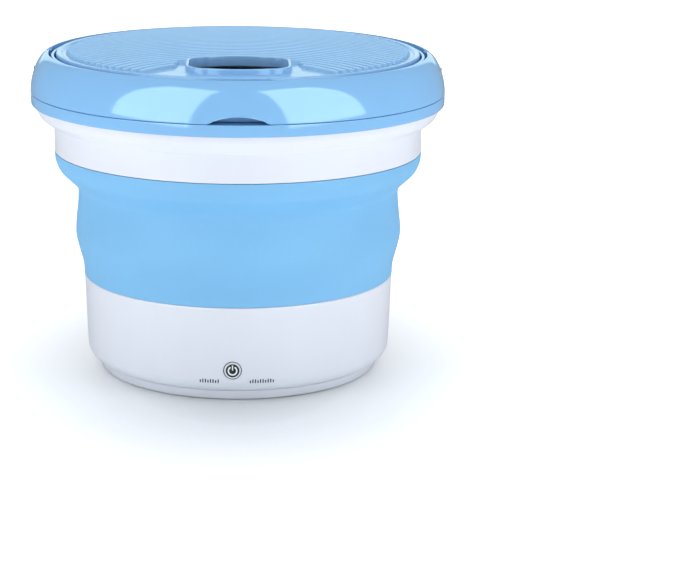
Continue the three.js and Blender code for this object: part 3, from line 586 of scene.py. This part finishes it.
def make_tub_floor():
    top, low = FLOOR_HIGH[2], FLOOR_LOW[2]
    floor, recess = 52.0, 46.5
    hub_bottom = 19.8
    profile = rounded([
        (9.3, recess, 0.3), (64, recess, 2.5), (68, floor, 3), (84, floor, 0), (89.5, 52.6, 5), (91.6, 57, 4),
        (91.7, top, 0.4), (FLOOR_HIGH[0], top, 0.4), (FLOOR_HIGH[0], 51, 2), (89, floor - 2.5, 2),
        (69.5, floor - 2.5, 1), (65.5, recess - 2.5, 1), (14.2, recess - 2.5, 1.5), (14.2, hub_bottom, 0.5),
        (11.3, hub_bottom, 0.3), (11.3, 41.7, 0), (9.3, 41.7, 0),
    ])
    parts = [turned(profile)]
    boss = rounded([(0, low, 0), (1.9, low, 0), (4, low, 0.4), (4, floor - 1, 0), (0, floor - 1, 0)])
    boss_at = 70  # distance of the screw bosses from the axis
    for angle in np.radians((45, 135, 225, 315)):
        spot = Matrix.Translation((boss_at * math.cos(angle), boss_at * math.sin(angle), 0))
        parts.append(placed(turned(boss, 32, False), spot))
    # raised beads that lead the water to the drain
    bead = stadium_bead([(70.5, 0), (77, 0), (83.5, 0)], 1.0, 0.7, lambda x, y: floor)
    count = 24
    for k in range(count):
        a = TURN * (k + 0.5) / count
        by_the_drain = abs(math.sin(a)) > 0.97
        if not by_the_drain:
            parts.append(placed(bead, Matrix.Rotation(a, 4, "Z")))
    piece("tub_basin", parts, "white_moulding", "base", ["tub_floor"])


def stadium_bead(line, half_width, height, ground, profile=None, sink=0.5):
    """A rounded bead along a line in plan: the same section across it and round its two ends."""
    section = profile or [(0, 1.0), (0.35, 0.93), (0.65, 0.68), (0.85, 0.35), (1.0, 0.0)]
    p = np.array(line, float)
    along = np.gradient(p, axis=0)
    along /= np.linalg.norm(along, axis=1)[:, None]
    left = np.stack([-along[:, 1], along[:, 0]], 1)
    ends = 8
    rows = []
    for d, h in section + [(1.0, -sink / height), (0.0, -sink / height)]:
        d *= half_width
        loop = list(p + d * left)
        for sign, spot, out in ((1, p[-1], left[-1]), (-1, p[0], -left[0])):
            if sign < 0:
                loop += list((p - d * left)[::-1])
            ahead = along[-1] if sign > 0 else -along[0]
            for k in range(1, ends):
                a = math.pi * k / ends
                loop.append(spot + d * (math.cos(a) * out + math.sin(a) * ahead))
        rows.append([(x, y, ground(x, y) + h * height) for x, y in loop])
    return surface(np.array(rows), wrap_rows=False, wrap_columns=True)


def make_impeller():
    """A dished disc with five swept paddles and a domed cap."""
    low, high = IMPELLER_LOW[2], IMPELLER_HIGH[2]
    profile = rounded([
        (4.3, low, 0), (60, low, 0.6), (61.5, low + 1.4, 0.6), (60, low + 2.8, 0.8), (24, low + 3.8, 4),
        (15, high - 2, 4), (9, high, 1.5), (4.3, high, 0.3),
    ])
    parts = [turned(profile)]
    # a paddle follows a curved line and gets lower from half way out to its end
    disc_top = low + 3.0
    half_way, end, paddles = 30, 57, 5
    line = [(12 + 44 * t, 5.5 * math.sin(math.pi * t * 0.9)) for t in np.linspace(0, 1, 18)]
    points, quads = stadium_bead(line, 3.0, 7.2, lambda x, y: disc_top)
    beyond = np.clip((np.hypot(points[:, 0], points[:, 1]) - half_way) / (end - half_way), 0, None)
    above = points[:, 2] - disc_top
    points[:, 2] = disc_top + np.where(above > 0, above * (1 - 0.75 * beyond**1.6), above)
    for k in range(paddles):
        parts.append(placed((points, quads), Matrix.Rotation(TURN * (k + 0.25) / paddles, 4, "Z")))
    piece("impeller_disc", parts, "white_moulding", "drive", ["impeller"])
    bottom, top = (corner[2] for corner in box_mm("impeller_cap"))
    dome = rounded([(0, bottom, 0), (6.6, bottom, 0.3), (6.6, top - 1.8, 1.6), (3, top - 0.2, 3)])
    dome = [(0, bottom)] + dome[1:] + [(0, top)]
    piece("impeller_cap_dome", [turned(dome, 64, False)], "blue_plastic", "drive", ["impeller_cap"])


# ---------------------------------------------------------------- controls


def on_casing(x, z, out):
    """A point on the casing's front, x from the middle and z up, standing out by a little."""
    up = max(0.0, (z - CORNER_Z) / (BASE_TOP - CORNER_Z))
    r = BASE_LOW_R + (BASE_TOP_R - BASE_LOW_R) * up + out
    if z < CORNER_Z:
        r = BASE_LOW_R - CORNER_R + math.sqrt(CORNER_R**2 - (CORNER_Z - z) ** 2) + out
    return x, -math.sqrt(r**2 - x**2), z


def printed(name, strips, material, body, place, slot):
    """Ink laid on a surface. Each strip is (line, half width); place maps (x, z, out) to a point."""
    thickness, section = 0.06, [(0, 1.0), (0.9, 1.0), (1.0, 0.4)]
    parts = []
    for line, half_width in strips:
        flat, quads = stadium_bead(line, half_width, thickness, lambda x, z: 0, section, 0.1)
        parts.append((np.array([place(x, z, out) for x, z, out in flat]), quads))
    piece(name, parts, slot, body, material=material)


def make_power_button():
    """A white cap with a black disc and a plain power mark, in a dark ring that fills the gap round it."""
    face = BUTTON_LOW[1]
    r = BUTTON_HOLE_R - 0.6
    laid = Matrix.Translation((BUTTON_X, face, BUTTON_Z)) @ Matrix.Rotation(math.pi / 2, 4, "X")
    cap = rounded([
        (0, 0, 0), (r, -0.02, 0.3), (r, -4, 0), (6.6, -4.4, 0.2), (6.6, -5.3, 0.2), (2, -5.3, 0),
        (2, -7, 0.2), (0, -7, 0),
    ])
    piece("button_cap", [placed(turned(cap, 96, False), laid)], "white_casing", "button", ["power_button"])
    disc = [(0, 0.16), (2, 0.15), (3.7, 0.1), (4.15, 0.02), (4.25, -0.2), (0, -0.2)]
    piece("button_disc", [placed(turned(disc, 96, False), laid)], "black_plastic", "button")

    def on_face(x, z, out):
        return BUTTON_X + x, face - 0.15 - out, BUTTON_Z + z

    mark = [(arc(0, 0, 2.55, 128, 412, 40), 0.46), ([(0, 0.5), (0, 1.8), (0, 3.1)], 0.38)]
    printed("button_power_mark", mark, PRINT_WHITE, "button", on_face, "white_casing")

    inner, outer = r + 0.12, BUTTON_HOLE_R - 0.03
    front, back = -0.75, -3.2
    gasket = rounded([(inner, front, 0.1), (inner, back, 0), (outer, back, 0), (outer, front, 0.1)])
    piece("button_gasket", [placed(turned(gasket, 96), laid)], "rubber", "base")


def make_front_marks():
    """A row of plain ticks below each indicator lamp, laid on the casing."""
    ticks = []
    pitch, foot, half_width = 1.55, 13.4, 0.36
    for name, count in (("function_led", 8), ("sterilizer_led", 10)):
        low, high = box_mm(name)
        middle = (low[0] + high[0]) / 2
        for k in range(count):
            x = middle + pitch * (k - (count - 1) / 2)
            tall = 1.9 if k % 3 else 1.3
            ticks.append(([(x, foot), (x, foot + tall / 2), (x, foot + tall)], half_width))
    printed("indicator_ticks", ticks, PRINT_DARK, "base", on_casing, "black_plastic")


def make_drain_plug():
    """A ribbed stopper with a flange and a low tab, which the folded wall passes."""
    laid = Matrix.Translation((0, PLUG_LOW[1], DRAIN_Z)) @ Matrix.Rotation(-math.pi / 2, 4, "X")
    face = 9.2  # outer face of the flange
    tab_height = PLUG_HIGH[1] - PLUG_LOW[1] - 10
    body = [(0, 0), (3.9, 0), (4.2, 0.3), (4.3, 2.4), (4.6, 2.8), (4.4, 3.4), (4.4, 5.4), (4.7, 5.8)]
    body.append((4.5, 6.4))
    flange = rounded([(4.5, 7.7, 0), (6.4, 7.9, 0.3), (6.4, face, 0.5), (0, face, 0)])
    tab = stadium_bead([(-3.2, 0), (0, 0), (3.2, 0)], 1.3, tab_height, lambda x, y: face)
    parts = [placed(turned(body + flange, 64, False), laid), placed(tab, laid)]
    piece("drain_stopper", parts, "blue_silicone", "plug", ["drain_plug"])


def make_power_socket():
    laid = Matrix.Rotation(SOCKET_ANGLE - math.pi / 2, 4, "Z") @ Matrix.Translation((0, 79.8, SOCKET_Z))
    laid = laid @ Matrix.Rotation(-math.pi / 2, 4, "X")
    barrel = rounded([
        (2.9, 6, 0), (2.9, 17.2, 0.25), (4.2, 17.2, 0.4), (4.2, 12, 0), (5.4, 12, 0.3), (5.4, 0, 0.3),
        (0, 0, 0), (0, 6, 0),
    ])
    piece("socket_barrel", [placed(turned(barrel, 64), laid)], "black_plastic", "base", ["power_socket"])
    pin = [(0, 5.9)] + rounded([(1, 5.9, 0), (1, 16, 0.6), (0, 16.3, 0), (0, 5.9, 0)])[:-1]
    piece("socket_pin", [placed(turned(pin, 32, False), laid)], "steel", "base")


# ---------------------------------------------------------------- folding wall and collar


def make_folding_wall():
    """The silicone wall, with a sleeve at each end that is held inside the collar and the casing."""
    low, top = BASE_TOP + GAP, COLLAR_LOW[2] - GAP
    top_sleeve = COLLAR_R - 3.3
    low_sleeve = BASE_TOP_R - 2.8
    thickness = 1.3  # thin enough to pass the drain plug when it is folded
    outer = spline([
        (116.3, top), (116.25, 137.5), (115.7, 134.2), (113.3, 129), (109, 124.7), (105, 120.9),
        (102.6, 117.6), (102, 114.5), (102.3, 107.5), (103.1, 99.9), (103.9, 92), (103.9, 86.5),
        (102.9, 81.4), (101.4, 75.5), (100, 70.3), (99.3, 65.5), (99.15, low),
    ], 5)
    inner = [p for p in offset(outer, -thickness)[::-1] if BASE_TOP + 1.5 < p[1] < top - 1.5]
    profile = [(top_sleeve, WALL_HIGH[2]), (top_sleeve, top)] + outer
    profile += [(low_sleeve, low), (low_sleeve, WALL_LOW[2]), (low_sleeve - 1.7, WALL_LOW[2])]
    profile += [(low_sleeve - 1.7, BASE_TOP + 0.5)] + inner
    profile += [(top_sleeve - 2, top + 0.5), (top_sleeve - 2, WALL_HIGH[2])]
    wall = piece("silicone_wall", [turned(profile, 192)], "blue_silicone", None, ["folding_wall"])
    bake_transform(wall)


def make_collar():
    inner = COLLAR_R - 3
    low, top = COLLAR_LOW[2], COLLAR_HIGH[2]
    profile = rounded([
        (inner, low, 0.4), (COLLAR_R, low, 0.6), (COLLAR_R, 158.6, 2.2), (120.6, 159.9, 4), (124.9, 163.2, 5),
        (127, 167.2, 5), (FLANGE_R, FLANGE_TOP, 0.4), (FLANGE_R - 2.5, FLANGE_TOP, 0.4), (124.2, 167.6, 2),
        (122, 164.9, 2), (119, 163.2, 2), (COLLAR_R, 162.6, 0.5), (COLLAR_R, top, 0.3), (inner, top, 0.3),
    ], 8)
    piece("collar_band", [turned(profile)], "white_casing", "rim", ["upper_collar"])


# ---------------------------------------------------------------- rim and handle


def crown(inset, steps):
    """The rim's crown from its widest point up to its inner edge, drawn in by an inset: (r, z)."""
    a, b = RIM_R - CREST_R - inset, CREST - SHELF - inset
    t = np.linspace(0, math.pi / 2, steps + 1)
    return list(zip(CREST_R + a * np.cos(t) ** CROWN_POWER, SHELF + b * np.sin(t) ** CROWN_POWER))


def make_rim():
    """The band with its inner wall and ledge, and the fixed back half of the crown."""
    ledge = SEAL_LOW[2] - GAP
    inner = INNER_WALL_R - 2
    ledge_r = inner - 2.8
    over_collar, round_collar = COLLAR_HIGH[2] + GAP, COLLAR_R + 0.5
    wall = 2.5
    lower = rounded([
        (RIM_R - 0.1, RIM_BOTTOM, 0.9), (RIM_R, SHELF, 0.35), (INNER_WALL_R, SHELF, 0.8),
        (INNER_WALL_R, INNER_WALL_TOP, 0.7), (inner, INNER_WALL_TOP, 0.7), (inner, ledge, 0.3),
        (ledge_r, ledge, 0.4), (ledge_r, ledge - 2, 0.4), (inner, ledge - 4.5, 1), (inner, over_collar, 0.3),
        (round_collar, over_collar, 0), (round_collar, SHELF - wall, 1), (RIM_R - wall, SHELF - wall, 1),
        (RIM_R - wall, RIM_BOTTOM, 0.4),
    ])
    # the back half's ends are cut square above the pivot and hollowed round it below
    crown_wall, sunk = 2.3, SHELF - 0.4
    outside = [(RIM_R, sunk)] + crown(0, 26)
    inside = crown(crown_wall, 26)[::-1] + [(RIM_R - crown_wall, sunk)]
    edge = [(CREST_R + 0.1, CREST - 1.2), (CREST_R + 0.1, CREST - 2.0)]
    section = np.array(outside + edge + inside)
    socket_r = PIVOT_END_R + 0.7
    steps = 160
    r, z = section.T
    below = np.clip(PIVOT_Z - z, 0, socket_r)
    limit = np.sqrt(socket_r**2 - below**2)
    start = np.arcsin(limit / r)
    t = np.linspace(0, 1, steps + 1)
    a = start[:, None] + (math.pi - 2 * start)[:, None] * t
    grid = np.stack([r[:, None] * np.cos(a), r[:, None] * np.sin(a), np.repeat(z[:, None], steps + 1, 1)], 2)
    body = surface(grid, wrap_rows=True)
    columns = steps + 1
    caps = [tuple(i * columns + c for i in range(len(section))) for c in (0, steps)]
    back = (body[0], body[1] + caps)
    piece("rim_band", [turned(lower), back], "blue_plastic", "rim", ["rim_ring"], sharp=28)


def soft_limit(value, limit, blend):
    """The smaller of the two, with the corner between them rounded."""
    nearness = np.clip(blend - np.abs(value - limit), 0, None) / max(blend, 1e-6)
    return np.minimum(value, limit) - nearness**2 * blend / 4


def make_handle():
    """A half ring of channel section with round ends, and a thumb notch in its front edge."""
    low = HANDLE_LOW[2]
    inner = CREST_R - 0.2
    wall = 2.5
    outside = [(inner + 0.35, low), (inner, low + 0.35), (inner, low + 8), (inner, CREST - 2.2)]
    outside += [(inner, CREST - 0.9), (inner + 0.12, CREST - 0.35)] + crown(0, 36)[::-1][1:-1]
    outside += [(RIM_R, low + 0.6), (RIM_R - 0.1, low + 0.2), (RIM_R - 0.4, low)]
    cavity = [(RIM_R - wall + 0.4, low), (RIM_R - wall, low + 0.4)] + crown(wall, 14)[1:-2]
    cavity += [(inner + 2, CREST - 4.5), (inner + 2, low + 8), (inner + 2, low + 0.4), (inner + 1.6, low)]
    section = np.array(outside + cavity)
    hollow = np.array([False] * len(outside) + [True] * len(cavity))
    r, z = section.T
    front = np.linspace(0, math.pi, 241)
    beyond = PIVOT_END_R * np.sin(np.linspace(0, math.pi / 2, 25))[1:]
    stations = [("end", -1, y) for y in beyond[::-1]]
    stations += [("turn", a, 0) for a in front] + [("end", 1, y) for y in beyond]
    notch_half, notch_rise = 17.4, 4.4
    solid_until, hollow_ramp = 9.0, 1.2  # the ends are solid this far in front of the pivot
    columns = []
    for kind, value, y in stations:
        if kind == "turn":
            x_at, y_at = -r * math.cos(value), -r * math.sin(value)
            limit, blend = 1e3, 0.0
        else:
            x_at, y_at = value * np.sqrt(r**2 - y**2), np.full_like(r, y)
            limit = math.sqrt(max(PIVOT_END_R**2 - y**2, 0))
            blend = 1.6 * min(1.0, y / 2.5) * min(1.0, limit / 2.0)
        rise = z - PIVOT_Z
        z_at = PIVOT_Z + np.sign(rise) * soft_limit(np.abs(rise), limit, blend)
        depth = np.clip((-y_at - solid_until) / hollow_ramp, 0, 1)
        bottom = np.minimum(z_at, np.maximum(low, PIVOT_Z - limit))
        z_at = np.where(hollow, bottom + (z_at - bottom) * depth, z_at)
        if kind == "turn":
            across = np.clip(np.abs(x_at) / notch_half, 0, 1)
            arch = low + notch_rise * (1 - across**2) ** 0.75
            near = (y_at < 0) & (r > RIM_R - wall - 0.6)
            z_at = np.where(near, np.maximum(z_at, arch + (z_at - low) * 0.12), z_at)
        columns.append(np.stack([x_at, y_at, z_at], 1))
    bow = surface(np.array(columns).transpose(1, 0, 2), wrap_rows=True)
    piece("handle_bow", [bow], "blue_plastic", "handle", ["carry_handle"], sharp=40)


def make_pins():
    for side in ("left", "right"):
        name = f"handle_pin_{side}"
        low, high = box_mm(name)
        length, r = high[0] - low[0], (high[2] - low[2]) / 2
        profile = rounded([(0, 0, 0), (r, 0, 0.4), (r, length, 0.4), (0, length, 0)])
        laid = Matrix.Translation((low[0], 0, PIVOT_Z)) @ Matrix.Rotation(math.pi / 2, 4, "Y")
        piece(f"pivot_pin_{side}", [placed(turned(profile, 40, False), laid)], "steel", "rim", [name])


# ---------------------------------------------------------------- lid


def lid_height(x, y):
    return LID_CROWN - LID_CURVE * (x * x + y * y)


def grip_outline(grow, per_part=16):
    """The grip hole in plan: straight sides, front and back bowed outwards, counted anticlockwise."""
    half_x, front, back, corner, bow = 29.5 + grow, -96.5 - grow, -59.5 + grow, 11 + grow, GRIP_BOW
    side = half_x - corner

    def bowed(y, out, start, end, steps):
        xs = np.linspace(start, end, steps + 1)
        return [(x, y + out * bow * (1 - (x / side) ** 2)) for x in xs]

    points = bowed(back, 1, side, -side, 2 * per_part)[:-1]
    points += arc(-side, back - corner, corner, 90, 180, per_part)[:-1]
    points += [(-half_x, y) for y in np.linspace(back - corner, front + corner, per_part + 1)][:-1]
    points += arc(-side, front + corner, corner, 180, 270, per_part)[:-1]
    points += bowed(front, -1, -side, side, 2 * per_part)[:-1]
    points += arc(side, front + corner, corner, -90, 0, per_part)[:-1]
    points += [(half_x, y) for y in np.linspace(front + corner, back - corner, per_part + 1)][:-1]
    points += arc(side, back - corner, corner, 0, 90, per_part)[:-1]
    return np.array(points)


def lid_panel():
    """The lid's shell: one closed surface from the grip hole out to the skirt and back underneath."""
    slope = 2 * LID_CURVE * -GRIP_Y
    rise = slope * (GRIP_BACK_Y + BOSS_WALL - GRIP_Y)
    boss = LID_HIGH[2] - lid_height(0, GRIP_Y) - rise - 0.05
    thick = 2.5

    def leaning(xy, up):
        z = lid_height(0, GRIP_Y) + slope * (xy[:, 1] - GRIP_Y) + up
        return np.column_stack([xy, z])

    rows = []
    # down inside the hole, over the lip, down the boss and out through its foot fillet
    wall = BOSS_WALL
    for grow, up in (
        (0.25, -thick), (0.05, 0.25 - thick), (0, 0.6 - thick), (0, 0), (0, boss - 0.6), (0.06, boss - 0.3),
        (0.25, boss - 0.08), (0.5, boss), (wall - 0.5, boss), (wall - 0.25, boss - 0.08),
        (wall - 0.06, boss - 0.3), (wall, boss - 0.6), (wall + 0.05, 0.9), (wall + 0.25, 0.4),
        (wall + 0.7, 0.1),
    ):
        rows.append(leaning(grip_outline(grow), up))
    start = grip_outline(wall + 1.4)
    middle = np.array([0, GRIP_Y])
    ray = start - middle
    ray /= np.linalg.norm(ray, axis=1)[:, None]
    edge_r = 110.0
    along = -(ray @ middle) + np.sqrt((ray @ middle) ** 2 - middle @ middle + edge_r**2)
    edge = middle + ray * along[:, None]
    steps = 22
    for k in range(steps + 1):
        xy = start + (edge - start) * (k / steps)
        rows.append(np.column_stack([xy, lid_height(xy[:, 0], xy[:, 1])]))
    out = edge / edge_r
    skirt = rounded([
        (edge_r + 0.2, 201.4, 0), (111, 202.55, 1), (112.4, 203, 1.2), (113.8, 202.6, 0.9),
        (LID_R, 201.4, 0.8), (LID_R, LID_LOW[2], 0.4), (LID_R - 2.4, LID_LOW[2], 0.4),
        (LID_R - 2.4, 198.6, 1.5),
    ])
    for r, z in skirt:
        rows.append(np.column_stack([out * r, np.full(len(out), z)]))
    for k in range(steps, -1, -4):
        xy = start + (edge - start) * (k / steps) * 0.985
        rows.append(np.column_stack([xy, lid_height(xy[:, 0], xy[:, 1]) - thick]))
    rows.append(leaning(grip_outline(wall), -thick))
    return surface(np.array(rows), wrap_rows=True, wrap_columns=True)


def lid_ribs():
    """The washboard: arcs about a point in front of the lid. The first two stop short of the grip hole."""
    half_width, height = 2.95, 2.0
    section = [
        (0, 1), (0.22, 0.985), (0.4, 0.92), (0.54, 0.79), (0.65, 0.6), (0.74, 0.38), (0.83, 0.17),
        (0.92, 0.05), (1, 0),
    ]
    field = RIB_FIELD_R - half_width * 0.6
    ribs = []
    for i in range(RIB_COUNT):
        radius = RIB_FIRST_R + RIB_PITCH * i
        reach = math.acos((radius**2 + RIB_CENTRE_Y**2 - field**2) / (2 * radius * -RIB_CENTRE_Y))
        spans = [(-reach, reach)]
        if i < 2:
            side = math.asin((39.5 - 1.5 * i) / radius)
            spans = [(-reach, -side), (side, reach)]
        for first, last in spans:
            steps = max(6, round((last - first) * radius / 3))
            angles = np.linspace(last, first, steps + 1)
            line = [(radius * math.sin(a), RIB_CENTRE_Y + radius * math.cos(a)) for a in angles]
            ribs.append(stadium_bead(line, half_width, height, lid_height, section))
    return ribs


def make_lid():
    parts = [lid_panel()] + lid_ribs()
    piece("lid_washboard", parts, "blue_plastic", "lid", ["lid_panel"], sharp=40, material=LID_BLUE)
    low, high = SEAL_LOW[2], SEAL_HIGH[2]
    lip = rounded([(LID_R - 2.2, low, 0.5), (LID_R, low, 0.5), (LID_R, high, 0.3), (LID_R - 2.2, high, 0.3)])
    piece("lid_seal_ring", [turned(lip)], "blue_silicone", "lid", ["lid_seal"])


# ---------------------------------------------------------------- studio


def look_at(obj, place, target):
    obj.location = Vector(place)
    obj.rotation_euler = (Vector(target) - Vector(place)).to_track_quat("-Z", "Y").to_euler()


def make_camera():
    """Stands in front, a little above the lid, and looks slightly down and past the washer's right side."""
    yaw, pitch, roll = 0.05273, 0.25795, 0.01319
    ahead = Vector((math.sin(yaw), math.cos(yaw), 0))
    right = Vector((math.cos(yaw), -math.sin(yaw), 0))
    up = Vector((0, 0, 1))
    look = ahead * math.cos(pitch) - up * math.sin(pitch)
    over = up * math.cos(pitch) + ahead * math.sin(pitch)
    across = right * math.cos(roll) + over * math.sin(roll)
    over = over * math.cos(roll) - right * math.sin(roll)
    data = bpy.data.cameras.new("camera")
    data.sensor_width = 36
    data.lens = 108.58
    data.clip_end = 50
    camera = bpy.data.objects.new("camera", data)
    turn = Matrix((across, over, -look)).transposed()
    place = (0, -1.309297, 0.391274)
    camera.matrix_world = Matrix.Translation(place) @ turn.to_4x4()
    bpy.context.scene.collection.objects.link(camera)
    bpy.context.scene.camera = camera


def softbox(name, place, target, size, radiance, roll=0.0, color=(1, 1, 1), lights=True, mirrored=True):
    """A rectangle of even light, in units in which plain white is 1.

    lights says that it lights surfaces, mirrored that glossy ones show its reflection.
    """
    data = bpy.data.lights.new(name, "AREA")
    data.shape = "RECTANGLE"
    data.size, data.size_y = size
    data.energy = radiance * math.pi * size[0] * size[1]
    data.color = color
    lamp = bpy.data.objects.new(name, data)
    lamp.visible_camera = False
    lamp.visible_diffuse = lights
    lamp.visible_glossy = mirrored
    look_at(lamp, place, target)
    lamp.rotation_euler.rotate_axis("Z", roll)
    bpy.context.scene.collection.objects.link(lamp)


def staged(name, points, faces, material):
    """A part of the studio, in metres. Gloss doesn't show it."""
    mesh = bpy.data.meshes.new(name)
    mesh.from_pydata(points, [], faces)
    mesh.materials.append(material)
    made = bpy.data.objects.new(name, mesh)
    made.visible_glossy = False
    bpy.context.scene.collection.objects.link(made)
    return made


def make_floor():
    """A pale table that glows as if lit from below, though it is no lamp, and more so far off. It has no glow
    where the washer stands and just in front of it, which leaves a painted shade round the washer, and its
    colour is darkened round the foot, most in front, as a painted contact shadow.
    """
    half = 8.0
    corners = [(-half, -half, 0), (half, -half, 0), (half, half, 0), (-half, half, 0)]
    n = Nodes("floor_paper")
    paper = n.noise(220, 4, 0.5)
    tint = n.mix(n.spread(paper, 0.3, 0.7, 0, 1), (0.89, 0.89, 0.9), (0.91, 0.91, 0.92))
    # an ellipse round the washer, set a little towards the front, that places the painted shade and the glow
    patch = n.new("ShaderNodeMapping", Location=(0, 0.025, 0), Scale=(1.6, 1, 1))
    n.link(n.where, patch.inputs["Vector"])
    length = n.new("ShaderNodeVectorMath")
    length.operation = "LENGTH"
    n.link(patch.outputs["Vector"], length.inputs[0])
    distance = length.outputs["Value"]
    # painted light and shade: the table glows though it is no lamp, more far off, with no glow near the
    # washer, which leaves a painted shade round it
    glow = n.math("ADD", n.spread(distance, 0.11, 0.34, 0.0, 0.5), n.spread(distance, 1.2, 4.0, 0.0, 0.5))
    n.link(glow, n.shader.inputs["Emission Strength"])
    n.shader.inputs["Emission Color"].default_value = (1, 1, 1, 1)
    # painted contact shadow: the table's colour is darkened round the washer's foot, most in front
    painted_contact_shadow = n.mix(n.spread(distance, 0.07, 0.115, 0.0, 1.0), (0.72, 0.72, 0.73), tint)
    n.finish(painted_contact_shadow, n.spread(paper, 0.3, 0.7, 0.5, 0.65), n.bump(paper, 0.1, 2e-5))
    staged("floor", corners, [(0, 1, 2, 3)], n.material)


def make_backdrop():
    """A white dome round the floor. It is only looked at and lights nothing."""
    dome = [(7600, -50), (7600, 3000), (6800, 6500), (4000, 9000), (0, 9500)]
    points, quads = turned(dome, 96, False)
    n = Nodes("backdrop_paper")
    n.shader.inputs["Emission Color"].default_value = (1, 1, 1, 1)
    n.shader.inputs["Emission Strength"].default_value = 0.9
    backdrop = staged("backdrop", (points * MM).tolist(), quads, n.material)
    for way in ("diffuse", "transmission", "shadow"):
        setattr(backdrop, "visible_" + way, False)


def make_world():
    """An even dim grey all round."""
    world = bpy.data.worlds.new("studio")
    bpy.context.scene.world = world
    world.use_nodes = True
    world.node_tree.nodes["Background"].inputs["Color"].default_value = (0.3, 0.3, 0.3, 1)


def make_studio():
    make_floor()
    make_backdrop()
    make_world()
    bpy.context.scene.view_settings.view_transform = "Standard"
    for name, side in (("left", -1), ("right", 1)):
        place, target = (side * 1.13, -1.27, 1.4), (0, 0, 1.4)
        roll = side * math.radians(9)
        softbox(name + "_window", place, target, (1.4, 2.8), 3.9, roll, (0.73, 1, 1), lights=False)
        softbox(name + "_fill", (side * 1.9, -0.9, 0.9), (0, 0, 0.1), (1.6, 1.6), 1.5, mirrored=False)
    softbox("back_window", (0, 2.5, 0.9), (0, 0, 0.2), (2.4, 1.3), 0.9, 0.0, (0.75, 1, 1), lights=False)
    softbox("front_fill", (0, -2.0, 0.28), (0, 0, 0.1), (1.6, 0.5), 1.45, mirrored=False)
    softbox("back_fill", (0, 2.2, 0.8), (0, 0, 0.1), (1.6, 1.2), 0.6, mirrored=False)
    softbox("top_fill", (0, 0.1, 2.2), (0, 0, 0), (3.0, 2.6), 1.5, mirrored=False)


# ---------------------------------------------------------------- the scene

make_camera()
finish_carried_nodes()
make_base_casing()
make_bottom_cover()
make_feet()
make_cover_screws()
make_tub_floor()
make_impeller()
make_power_button()
make_front_marks()
make_drain_plug()
make_power_socket()
make_folding_wall()
make_collar()
make_rim()
make_handle()
make_pins()
make_lid()
make_studio()
